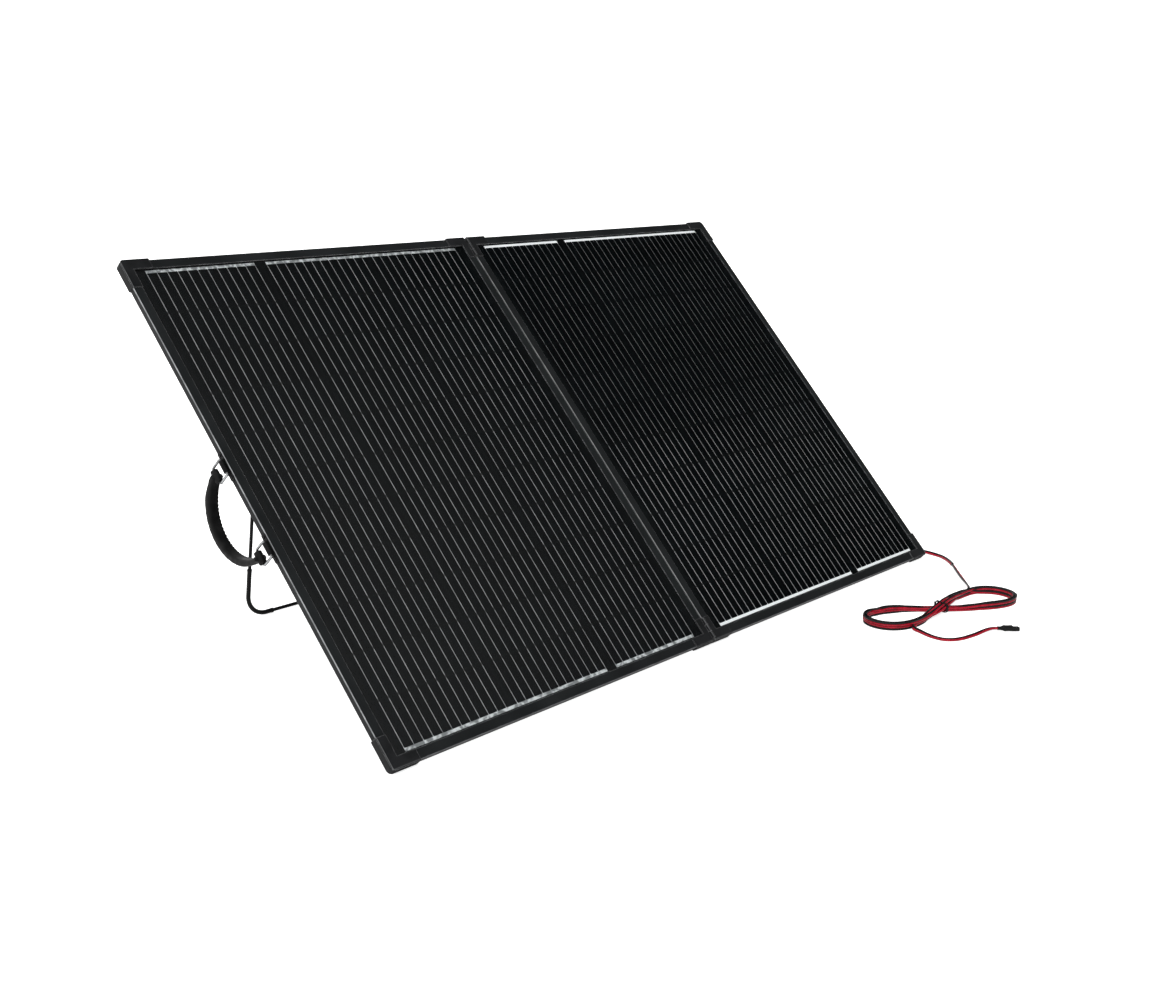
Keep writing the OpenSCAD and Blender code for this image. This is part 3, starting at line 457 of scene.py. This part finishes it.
def ribbon_finish():
    """Tinned wire, darkened near the row gaps as painted shade where it dips out of sight between the rows.
    The left panel's end bars are painted dimmer and blotched, the right panel's near-white, and the right
    panel's wires dull at the top and bright at the bottom: painted reflection set by place on the panel."""
    m = Shader("tinned_ribbon", (0.62, 0.64, 0.65), 0.34, Metallic=0.1)
    xyz = m.node("ShaderNodeSeparateXYZ")
    m.link(m.panel_coords(), xyz.inputs[0])
    up = xyz.outputs["Y"]
    along = m.math("FRACT", m.math("DIVIDE", m.math("SUBTRACT", up, FIELD_S - ROW_GAP / 2), ROW_PITCH))
    near_gap = m.math("MINIMUM", along, m.math("SUBTRACT", 1.0, along))
    # Painted shade: the wire is darkened near the row gaps where it dips between the rows
    lit = m.span(near_gap, 0.012, 0.055, 0.10, 1.0)
    ends = m.math("MAXIMUM", m.math("LESS_THAN", up, FIELD_S),
                  m.math("GREATER_THAN", up, PANEL_H - FIELD_S))
    lit = m.math("MAXIMUM", lit, ends)
    patch = m.span(m.noise(45, 3), 0.25, 0.75, 0.55, 1.0)
    # Painted reflection: on the right panel the wires are brightened towards the bottom and dimmed towards
    # the top
    right = m.math("GREATER_THAN", xyz.outputs["X"], 0.0)
    painted_reflection_gain = m.math("MULTIPLY", right, m.span(up, 0.08, 0.50, 1.4, -0.58))
    painted_reflection_gain = m.math("ADD", painted_reflection_gain, 1.0)
    wire = m.mix(m.math("MULTIPLY", m.math("MULTIPLY", lit, patch), painted_reflection_gain),
                 (0.010, 0.012, 0.014), (0.44, 0.45, 0.455))
    # Painted reflection set per panel: the left panel's end bars are dimmer and blotched, the right panel's
    # near-white
    dim_blotched_bar = m.mix(m.span(m.noise(120, 4), 0.42, 0.62, 0, 1), (0.20, 0.21, 0.215), (0.66, 0.68, 0.69))
    bar = m.mix(right, dim_blotched_bar, (0.96, 0.97, 0.98))
    m.colour(m.mix(ends, wire, bar))
    m.roughness(m.span(m.noise(700, 3), 0.3, 0.7, 0.28, 0.45))
    return m.bump(m.noise(1600, 3), 0.25, 0.00008).mat


def glass_finish():
    """Clear front glass. Only rays from the viewer meet it; light passes straight through."""
    m = Shader("front_glass", (0.985, 0.99, 0.99), 0.02, Transmission_Weight=1.0, IOR=1.5)
    m.roughness(m.span(m.noise(6, 3), 0.3, 0.7, 0.012, 0.035))
    rays = m.node("ShaderNodeLightPath")
    clear = m.node("ShaderNodeBsdfTransparent")
    clear.inputs["Color"].default_value = (0.97, 0.98, 0.98, 1)
    both = m.node("ShaderNodeMixShader")
    m.link(rays.outputs["Is Camera Ray"], both.inputs[0])
    m.link(clear.outputs[0], both.inputs[1])
    m.link(m.bsdf.outputs[0], both.inputs[2])
    m.link(both.outputs[0], m.tree.nodes["Material Output"].inputs["Surface"])
    return m.mat


FRAME, CAP, STEEL_BLACK = frame_finish(), cap_finish(), black_steel_finish()
STEEL, MILL, RUBBER = bright_steel_finish(), mill_finish(), rubber_finish()
RED = jacket_finish("red_jacket", (0.26, 0.002, 0.012), (0.38, 0.006, 0.022), 0.28)
BLACK = jacket_finish("black_jacket", (0.003, 0.003, 0.0035), (0.006, 0.006, 0.0065), 0.30)
FILM, CELL, RIBBON, GLASS = film_finish(), cell_finish(), ribbon_finish(), glass_finish()
BACKSHEET = backsheet_finish()
OWN_FINISH = {"handle_screws": STEEL_BLACK, "right_backsheet": BACKSHEET, "left_backsheet": BACKSHEET}
FINISH = {
    "frame_anodised": FRAME, "bare_aluminium": MILL, "panel_glass": GLASS, "solar_cell": CELL,
    "tinned_ribbon": RIBBON, "laminate_film": FILM, "cap_plastic": CAP, "black_steel": STEEL_BLACK,
    "bright_steel": STEEL, "soft_rubber": RUBBER, "cable_jacket": RED, "link_jacket": BLACK}

# ---------------------------------------------------------------- CAD nodes

SOFT_EDGE = {"cap_plastic": 0.00045, "frame_anodised": 0.0002, "black_steel": 0.0003, "bright_steel": 0.0002}
for part in frame["record"]["subparts"]:
    obj = NODES[part["node"]]
    slot = part["material_slot"]
    obj.data.materials.clear()
    obj.data.materials.append(OWN_FINISH.get(part["node"], FINISH[slot]))
    if slot in SOFT_EDGE:
        weld = obj.modifiers.new("weld", "WELD")
        weld.merge_threshold = 0.000002
        bevel = obj.modifiers.new("bevel", "BEVEL")
        bevel.width = SOFT_EDGE[slot]
        bevel.segments = 2
        bevel.limit_method = "ANGLE"
        bevel.angle_limit = math.radians(35)
        bevel.harden_normals = True

# ---------------------------------------------------------------- front glass


def pane(side):
    x0, x1 = SEAM_GAP / 2 + FRAME_LIP, SEAM_GAP / 2 + PANEL_W - FRAME_LIP
    if side < 0:
        x0, x1 = -x1, -x0
    s0, s1, top, low, chamfer = FRAME_LIP, PANEL_H - FRAME_LIP, -0.00125, -0.0040, 0.0005
    verts = []
    for inset, n in ((0, low), (0, top - chamfer), (chamfer, top)):
        verts += [slope(x0 + inset, s0 + inset, n), slope(x1 - inset, s0 + inset, n),
                  slope(x1 - inset, s1 - inset, n), slope(x0 + inset, s1 - inset, n)]
    faces = [(3, 2, 1, 0), (8, 9, 10, 11)]
    for r in (0, 4):
        for k in range(4):
            faces.append((r + k, r + (k + 1) % 4, r + 4 + (k + 1) % 4, r + 4 + k))
    name = "right" if side > 0 else "left"
    obj = new_mesh(name + "_front_glass", verts, faces, smooth=False, mats=(GLASS,))
    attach(obj, name + "_panel")
    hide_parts(name + "_glass")


pane(1)
pane(-1)

# ---------------------------------------------------------------- free cord

LEAD = [
    (702.8, -322.7, 8.6), (712, -323.2, 8.1), (720, -327.5, 6.6), (725, -336, 4.8),
    (726, -349, 3.4), (722, -363, 2.8), (713, -378, 2.6), (702, -391, 2.6),
    (688, -405, 2.6), (673, -418, 2.6), (658, -430, 2.6), (642, -443, 2.6),
    (625, -457, 2.6), (607, -472, 2.8), (589, -487, 3.6), (571, -500, 5),
    (554, -511, 6.4)]
TAIL = [
    (291, -546, 4.6), (285, -562, 3.2), (279, -578, 2.7), (275, -594, 2.6),
    (276, -610, 2.6), (286, -623, 2.6), (302, -631, 2.6), (320, -635, 2.6),
    (338, -638, 2.8), (354, -639.5, 3.2), (368, -642, 3.9), (377, -645.4, 4.3),
    (380.65, -648.28, 4.4), (386, -654.2, 4.4)]
BUNDLE_AT, BUNDLE_TURN = (415, -530), math.radians(-17)
LOBE_A, LOBE_B = 163, 42
CORE_R, CORE_HALF = 1.85, 1.83


def on_bundle(x, y, z):
    c, s = math.cos(BUNDLE_TURN), math.sin(BUNDLE_TURN)
    return (BUNDLE_AT[0] + x * c - y * s, BUNDLE_AT[1] + x * s + y * c, z)


def ease(v):
    v = min(1.0, max(0.0, v))
    return v * v * (3 - 2 * v)


LOBE_SLOTS = [(2.0, 3.8), (-2.0, 3.8), (2.0, 11.3), (-2.0, 11.3), (5.6, 4.2)]
LOW_PASS = [(-3.9, 3.15), (3.9, 3.15), (-3.9, 6.85), (3.9, 6.85)]
HIGH_PASS = [(-7.7, 10.5), (0.0, 10.5), (7.7, 10.5), (-3.9, 14.2), (3.9, 14.2)]


def bundle_route(start, end):
    """Four turns and a bit of a figure of eight. The strands stand on edge in the lobes, two by
    two, and lie flat where they cross under the tie."""
    points, rolls = [], []
    t = start
    while t <= end + 0.1:
        turn = (t - 45) / 360
        k = int(math.floor(turn))
        phase = (t - 45) % 360
        a, b = LOBE_SLOTS[min(k, 4)], LOBE_SLOTS[max(0, min(k, 4) - 1)]
        share = ease((phase + 15) / 30) if phase < 180 else ease((phase - 345) / 30)
        if phase > 180:
            a, b = LOBE_SLOTS[min(k + 1, 4)], LOBE_SLOTS[min(k, 4)]
        lobe = [b[i] + (a[i] - b[i]) * share for i in (0, 1)]
        off = abs(t % 180 - 90)
        w = 1 - ease((off - 7) / 25)
        high = abs((t % 360) - 90) < 90
        mid = HIGH_PASS[min(k, 4)] if high else LOW_PASS[min(k, 3)]
        wobble = 0.7 * math.sin(math.radians(t * 0.77 + 40 * k)) * (1 - w)
        lat = lobe[0] * (1 - w) + mid[0] * w + wobble
        z = lobe[1] * (1 - w) + mid[1] * w
        r = math.radians(t)
        tx, ty = -LOBE_A * math.sin(r), 2 * LOBE_B * math.cos(2 * r)
        size = math.hypot(tx, ty)
        points.append(on_bundle(LOBE_A * math.cos(r) + lat * ty / size,
                                LOBE_B * math.sin(2 * r) - lat * tx / size, z))
        left_lobe = math.cos(r) < 0
        flip = -1 if (left_lobe and lobe[1] < 7.5) else 1
        rolls.append(math.radians(90 + 9 * math.sin(math.radians(t * 1.3 + 70 * k))) * flip * (1 - w))
        t += 9
    return points, rolls


loops, loop_rolls = bundle_route(54, 116 + 1440)
raw = LEAD + loops + TAIL
raw_rolls = ([math.radians(47.4)] * 5 + [math.radians(47.4 - 3 * i) for i in range(1, 9)]
             + [math.radians(v) for v in (30, 45, 60, 75)] + loop_rolls
             + [math.radians(v) for v in (60, 40, 25, 20, 20, 20, 20, 20, 20, 15, 8, 0, 0, 0)])
raw = [Vector(p) * MM for p in raw]
cord_path = smooth_path(raw, 0.004)
raw_at, path_at = [], lengths(cord_path)
cursor = 0
for p in raw:
    best = min(range(cursor, min(len(cord_path), cursor + 60)), key=lambda i: (cord_path[i] - p).length)
    cursor = best
    raw_at.append(path_at[best])
cord_rolls, j = [], 0
for s in path_at:
    while j < len(raw_at) - 2 and s > raw_at[j + 1]:
        j += 1
    gap = max(1e-9, raw_at[j + 1] - raw_at[j])
    share = min(1.0, max(0.0, (s - raw_at[j]) / gap))
    cord_rolls.append(raw_rolls[j] * (1 - share) + raw_rolls[j + 1] * share)
for point, roll in zip(cord_path, cord_rolls):
    point.z = max(point.z, (CORE_R + CORE_HALF * abs(math.sin(roll)) + 0.1) * MM)
cord = twin_cable("output_cord", cord_path, cord_rolls, CORE_HALF * MM, CORE_R * MM, BLACK, RED)
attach(cord, "right_panel")
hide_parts("cord_lead", "cord_bundle", "cord_tail")

# Thin strap round the waist of the bundle, with its twisted ends
strap = []
for k in range(48):
    a = 2 * math.pi * k / 48
    c, s = math.cos(a), math.sin(a)
    y = 15.1 * math.copysign(abs(c) ** 0.5, c)
    z = 8.65 + 8.0 * math.copysign(abs(s) ** 0.5, s)
    strap.append(Vector(on_bundle(0, y, z)) * MM)
across = Vector(on_bundle(1, 0, 0)) - Vector(on_bundle(0, 0, 0))
band = swept("strap_band", strap, lambda i, u: soft_section(0.00045, 0.0024, 4, 12), (RUBBER,),
             up=across, close=True)
tail_a = smooth_path([Vector(on_bundle(x, y, z)) * MM for x, y, z in
                      [(0, 8, 16.2), (1, 10, 16.6), (3, 13, 16.2), (6, 16, 14), (9, 17.5, 11)]], 0.001)
tail_b = smooth_path([Vector(on_bundle(x, y, z)) * MM for x, y, z in
                      [(0, 8, 16.2), (-1, 9, 16.7), (-3, 9, 16.4), (-7, 8.4, 16.3), (-11, 7, 16.6)]], 0.001)
ends = [swept("strap_end", p, lambda i, u: soft_section(0.0018, 0.0005, 4, 12), (RUBBER,))
        for p in (tail_a, tail_b)]
tie = join("bundle_strap", [band] + ends)
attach(tie, "right_panel")
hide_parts("cord_tie")

# Two-pole plug with one bare pin and one shrouded socket; built here: a ribbed neck, a flat body and the
# shrouded socket
PLUG_AT, PLUG_TURN = Vector((384, -652, 4.4)), math.radians(-48)
plug_matrix = Matrix.Translation(PLUG_AT * MM) @ Matrix.Rotation(PLUG_TURN, 4, "Z")


def on_plug(x, y=0.0, z=0.0):
    return plug_matrix @ (Vector((x, y, z)) * MM)


PLUG_LEN, NECK_END, GRIP_FROM, GRIP_TO, ROUND_FROM = 26.0, 8.5, 13, 22, 25.2
profile = []
steps = 46
for i in range(steps + 1):
    x = PLUG_LEN * i / steps
    grow = ease((x - 5) / 7.5)
    half_y = 4.3 + 4.05 * grow
    half_z = 2.6 + 1.55 * grow
    if x < NECK_END:
        rib = 0.28 * math.sin(x / NECK_END * math.pi * 8)
        half_y += rib
        half_z += rib
    if GRIP_FROM < x < GRIP_TO:
        half_z -= 0.45 * ease(min(x - GRIP_FROM, GRIP_TO - x) / 0.8)
        half_z += 0.22 * max(0, math.sin((x - GRIP_FROM) / (GRIP_TO - GRIP_FROM) * math.pi * 10))
    if x > ROUND_FROM:
        half_y -= 0.35 * (x - ROUND_FROM)
        half_z -= 0.35 * (x - ROUND_FROM)
    profile.append((x, half_y, half_z))
plug_path = [on_plug(p[0]) for p in profile]
shell = swept("plug_shell_body", plug_path,
              lambda i, u: [(a * MM, b * MM) for a, b in soft_section(profile[i][1], profile[i][2], 3.2, 32)],
              (RUBBER,))


def lathe(name, rings, mats, place, sides=28):
    """Rings of (distance, radius) joined into a closed turned shape about place's X axis."""
    verts = []
    for x, r in rings:
        for k in range(sides):
            a = 2 * math.pi * k / sides
            verts.append(place @ Vector((x, r * math.cos(a), r * math.sin(a))))
    return new_mesh(name, verts, grid_faces(len(rings), sides, close_rows=True), mats=mats)


shroud_place = plug_matrix @ Matrix.Translation(Vector((0, -4.2, 0)) * MM)
SHROUD = [(25.4, 4.1), (30, 4.12), (35.2, 4.0), (35.8, 3.8), (36.0, 3.4),
          (36.0, 3.0), (35.8, 2.75), (35.0, 2.7), (25.6, 2.7)]
shroud = lathe("plug_shroud", [(x * MM, r * MM) for x, r in SHROUD], (RUBBER,), shroud_place)
plug = join("plug_shell", [shell, shroud])
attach(plug, "right_panel")
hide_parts("plug_body")

total = lengths(cord_path)[-1]
print("cord length", round(total, 4))

# ---------------------------------------------------------------- cables on the back

RUN_X, BOX_X, BOX_S = 0.644, 0.400, 0.700
CABLE_N, EXIT_N, LINK_N, LINK_BACK = -0.0071, -0.0135, -0.00745, -0.0125
route = [
    (BOX_X, BOX_S, CABLE_N), (BOX_X + .04, BOX_S, CABLE_N), (RUN_X - .084, BOX_S, CABLE_N),
    (RUN_X - .044, BOX_S, CABLE_N), (RUN_X - .024, BOX_S - .004, CABLE_N),
    (RUN_X - .010, BOX_S - .014, CABLE_N), (RUN_X - .002, BOX_S - .030, CABLE_N),
    (RUN_X, BOX_S - .050, CABLE_N), (RUN_X, .5, CABLE_N), (RUN_X, .3, CABLE_N), (RUN_X, .11, CABLE_N),
    (RUN_X, .08, CABLE_N - .0003), (RUN_X, .062, EXIT_N + .0047), (RUN_X + .0005, .046, EXIT_N + .0021),
    (RUN_X + .002, .033, EXIT_N + .0003), (RUN_X + .005, .024, EXIT_N), (RUN_X + .010, .0173, EXIT_N),
    (RUN_X + .016, .0138, EXIT_N), (RUN_X + .023, .0123, EXIT_N), (RUN_X + .029, .012, EXIT_N),
    (RUN_X + .034, .012, EXIT_N)]
back_path = smooth_path([slope(*p) for p in route], 0.005)
back = twin_cable("back_cable", back_path, [0.0] * len(back_path), CORE_HALF * MM, CORE_R * MM,
                  BLACK, RED, up=slope_dir(0, 0, 1))
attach(back, "right_panel")
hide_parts("output_cable")

relief_path = [slope(0.67605 + 0.02195 * i / 60, 0.012, EXIT_N) for i in range(61)]


def relief_ring(i, u):
    half_w = (5.6 - 1.5 * ease(u * 1.1)) - 0.45 * max(0.0, math.sin(u * math.pi * 14)) * (0.25 < u < 0.95)
    half_h = 1.93 + 0.1 * u
    edge = min(1.0, 0.75 + min(u, 1 - u) * 10)
    return [(a * MM, b * MM) for a, b in soft_section(half_w * edge, half_h * edge, 4, 28)]


relief = swept("relief_boot", relief_path, relief_ring, (RUBBER,), up=slope_dir(0, 0, 1))
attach(relief, "right_panel")
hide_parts("strain_relief")

half_link = [(0.2962, 0), (0.08, 0), (0.062, 0), (0.048, -.001), (0.038, -.00445),
             (0.032, -.00505), (0.020, -.00505)]
link_points = ([slope(-x, BOX_S, LINK_N + n) for x, n in half_link] + [slope(0, BOX_S, LINK_BACK)]
               + [slope(x, BOX_S, LINK_N + n) for x, n in reversed(half_link)])
link = swept("link_cable", smooth_path(link_points, 0.004),
             lambda i, u: circle(0.0022, 18), (BLACK,), up=slope_dir(0, 0, 1))
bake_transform(link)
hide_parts("right_link_cable", "left_link_cable", "link_loop")

# ---------------------------------------------------------------- handle grip

RING_HALF, GRIP_R = 68.5, 69.0
GRIP_X = -(SEAM_GAP / 2 + PANEL_W + 0.005)
FAR_N = -29.0
GRIP_END = math.degrees(math.asin(RING_HALF / GRIP_R))
CENTRE_N = FAR_N + GRIP_R * math.cos(math.radians(GRIP_END))


def grip_point(angle, radius):
    a = math.radians(angle)
    return slope(GRIP_X, (420 + radius * math.sin(a)) * MM, (CENTRE_N - radius * math.cos(a)) * MM)


grip_steps = 260
angles = [GRIP_END * (2 * i / grip_steps - 1) for i in range(grip_steps + 1)]
grip_path = [grip_point(a, GRIP_R) for a in angles]


def grip_ring(i, u):
    a = abs(angles[i])
    thick = 5.7 - 1.5 * ease((a - 52) / 22)
    wide = 9.6 - 0.9 * ease((a - 50) / 14) + 0.9 * ease((a - 70) / 8)
    ridge = 1.25 * (0.5 + 0.5 * math.cos(math.radians(angles[i] * 360 / 5.0))) * (1 - ease((a - 54) / 5))
    groove = 0.35 * (0.5 + 0.5 * math.cos(math.radians(angles[i] * 360 / 10.0))) * (1 - ease((a - 46) / 6))
    out = []
    for p, q in soft_section(1, 1, 3.6, 36):
        x, y = p * thick, q * wide
        if q > 0:
            y -= ridge * q ** 2 * (1 - 0.35 * p * p)
        else:
            y += groove * q ** 2
        out.append((x * MM, y * MM))
    return out


grip_body = swept("grip_body", grip_path, grip_ring, (RUBBER,), up=Vector((1, 0, 0)))


def eye(sign):
    place = Matrix.Translation(slope(GRIP_X, (420 + sign * RING_HALF) * MM, FAR_N * MM))
    along = slope_dir(0, 1, 0)
    turn = Vector((1, 0, 0)).rotation_difference(along).to_matrix().to_4x4()
    rings = [(-9.9, 4.6), (-9.4, 5.4), (-8.4, 5.8), (-3, 5.9), (3, 5.9), (8.4, 5.8), (9.4, 5.4), (9.9, 4.6),
             (9.9, 2.6), (9.5, 2.15), (-9.5, 2.15), (-9.9, 2.6)]
    return lathe("grip_eye", [(x * MM, r * MM) for x, r in rings], (RUBBER,), place @ turn, 32)


grip = join("grip_moulding", [grip_body, eye(1), eye(-1)])
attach(grip, "handle_grip")
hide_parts("handle_grip")

# ---------------------------------------------------------------- leg sleeves

LEG_ANGLE = math.radians(80.8)
PIVOT = slope(0, 0.838, -0.018)
FOOT_Z = 0.0045
LEG_LEN = (PIVOT.z - FOOT_Z) / math.sin(LEG_ANGLE)
LEG_HALF, BEND_R, SLEEVE_UP, SLEEVE_IN = 0.088, 0.040, 0.050, 0.014
SLEEVE_R, SLEEVE_LIP, ROD_BORE = 0.0040, 0.00045, 0.00303
sleeve_down = Vector((0, math.cos(LEG_ANGLE), -math.sin(LEG_ANGLE)))


def sleeve(side, arm):
    foot = Vector((SEAM_X + side * (SEAM_GAP + PANEL_W) / 2, PIVOT.y, PIVOT.z)) + sleeve_down * LEG_LEN
    line = []
    for i in range(41):
        line.append(Vector((arm * LEG_HALF, 0, BEND_R + SLEEVE_UP * (1 - i / 40))))
    for i in range(1, 31):
        a = math.radians(90 * i / 30)
        line.append(Vector((arm * (LEG_HALF - BEND_R + BEND_R * math.cos(a)), 0, BEND_R * (1 - math.sin(a)))))
    for i in range(1, 13):
        line.append(Vector((arm * (LEG_HALF - BEND_R - SLEEVE_IN * i / 12), 0, 0)))
    path = [foot + Vector((p.x, 0, 0)) - sleeve_down * p.z for p in line]
    at, dirs = lengths(path), headings(path)
    whole = at[-1]
    facing = Vector((1, 0, 0)).cross(sleeve_down).normalized()
    verts, sides = [], 20

    def ring(i, radius):
        across = dirs[i].cross(facing).normalized()
        for k in range(sides):
            a = 2 * math.pi * k / sides
            verts.append(path[i] + facing * radius * math.cos(a) + across * radius * math.sin(a))

    for i in range(len(path)):
        s = min(at[i], whole - at[i])
        lip = SLEEVE_LIP * (1 - ease((s - 0.003) / 0.002))
        radius = SLEEVE_R + lip - 0.00012 * (0.5 + 0.5 * math.cos(at[i] / 0.004 * 2 * math.pi))
        if s < 0.0006:
            radius -= SLEEVE_LIP
        ring(i, radius)
    for i in reversed(range(0, len(path), 4)):
        ring(i, ROD_BORE)
    faces = grid_faces(len(verts) // sides, sides, close_rows=True)
    return new_mesh("sleeve_part", verts, faces, mats=(RUBBER,))


for name, side in (("right", 1), ("left", -1)):
    both = join(name + "_foot_sleeves", [sleeve(side, 1), sleeve(side, -1)])
    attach(both, name + "_leg")
    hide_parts(name + "_leg_sleeves")

# ---------------------------------------------------------------- studio

floor_mat = Shader("studio_floor", (0.86, 0.86, 0.86), 0.7, Emission_Color=(1, 1, 1, 1))
glow = floor_mat.math("MULTIPLY", floor_mat.node("ShaderNodeLightPath").outputs["Is Camera Ray"], 0.8)
floor_mat.link(glow, floor_mat.bsdf.inputs["Emission Strength"])
floor_mat.roughness(floor_mat.span(floor_mat.noise(3, 2), 0.3, 0.7, 0.65, 0.75))
floor = new_mesh("studio_floor", [(-30, -30, 0), (30, -30, 0), (30, 30, 0), (-30, 30, 0)], [(0, 1, 2, 3)],
                 smooth=False, mats=(floor_mat.mat,))

world = bpy.data.worlds.new("studio")
bpy.context.scene.world = world
world.use_nodes = True
wt = world.node_tree
back_node = wt.nodes["Background"]
way = wt.nodes.new("ShaderNodeTexCoord").outputs["Generated"]


def lobe(azimuth, elevation, inner, outer, power):
    """Soft patch of light: full inside the inner angle, gone outside the outer one."""
    a, e = math.radians(azimuth), math.radians(elevation)
    dot = wt.nodes.new("ShaderNodeVectorMath")
    dot.operation = "DOT_PRODUCT"
    dot.inputs[1].default_value = (math.cos(e) * math.cos(a), math.cos(e) * math.sin(a), math.sin(e))
    wt.links.new(way, dot.inputs[0])
    m = wt.nodes.new("ShaderNodeMapRange")
    m.interpolation_type = "SMOOTHSTEP"
    for key, v in zip(("From Min", "From Max", "To Min", "To Max"),
                      (math.cos(math.radians(outer)), math.cos(math.radians(inner)), 0, power)):
        m.inputs[key].default_value = v
    wt.links.new(dot.outputs["Value"], m.inputs["Value"])
    return m.outputs["Result"]


def add(a, b):
    m = wt.nodes.new("ShaderNodeMath")
    m.operation = "ADD"
    for i, v in enumerate((a, b)):
        if isinstance(v, (int, float)):
            m.inputs[i].default_value = v
        else:
            wt.links.new(v, m.inputs[i])
    return m.outputs[0]


split = wt.nodes.new("ShaderNodeSeparateXYZ")
wt.links.new(way, split.inputs[0])
low = wt.nodes.new("ShaderNodeMapRange")
low.interpolation_type = "SMOOTHSTEP"
for key, v in zip(("From Min", "From Max", "To Min", "To Max"), (0.10, 0.30, 0.35, 0.0)):
    low.inputs[key].default_value = v
wt.links.new(split.outputs["Z"], low.inputs["Value"])
light = add(low.outputs["Result"], lobe(-60, 48, 12, 34, 0.26))
light = add(light, lobe(190, 50, 20, 75, 0.55))
light = add(light, lobe(88, 15, 15, 52, 1.6))
light = add(light, 0.006)
back_node.inputs["Color"].default_value = (1, 1, 1, 1)
seen = wt.nodes.new("ShaderNodeLightPath").outputs["Is Camera Ray"]
wt.links.new(add(light, seen), back_node.inputs["Strength"])

sun = bpy.data.lights.new("soft_key", "SUN")
sun.energy = 2.9
sun.angle = math.radians(50)
key = bpy.data.objects.new("soft_key", sun)
key.rotation_euler = Vector((0.45, 0.35, -1.0)).to_track_quat("-Z", "Y").to_euler()
key.visible_glossy = False  # lights the cells without glaring in the glass
bpy.context.scene.collection.objects.link(key)

camera_data = bpy.data.cameras.new("camera")
camera_data.lens = 45.98
camera_data.sensor_width = 36
camera = bpy.data.objects.new("camera", camera_data)
camera.location = (-1.84625, -1.7058, 0.8071)
camera.rotation_euler = Vector((0.7203, 0.6514, -0.2384)).to_track_quat("-Z", "Y").to_euler()
bpy.context.scene.collection.objects.link(camera)
bpy.context.scene.camera = camera
bpy.context.scene.view_settings.view_transform = "Standard"
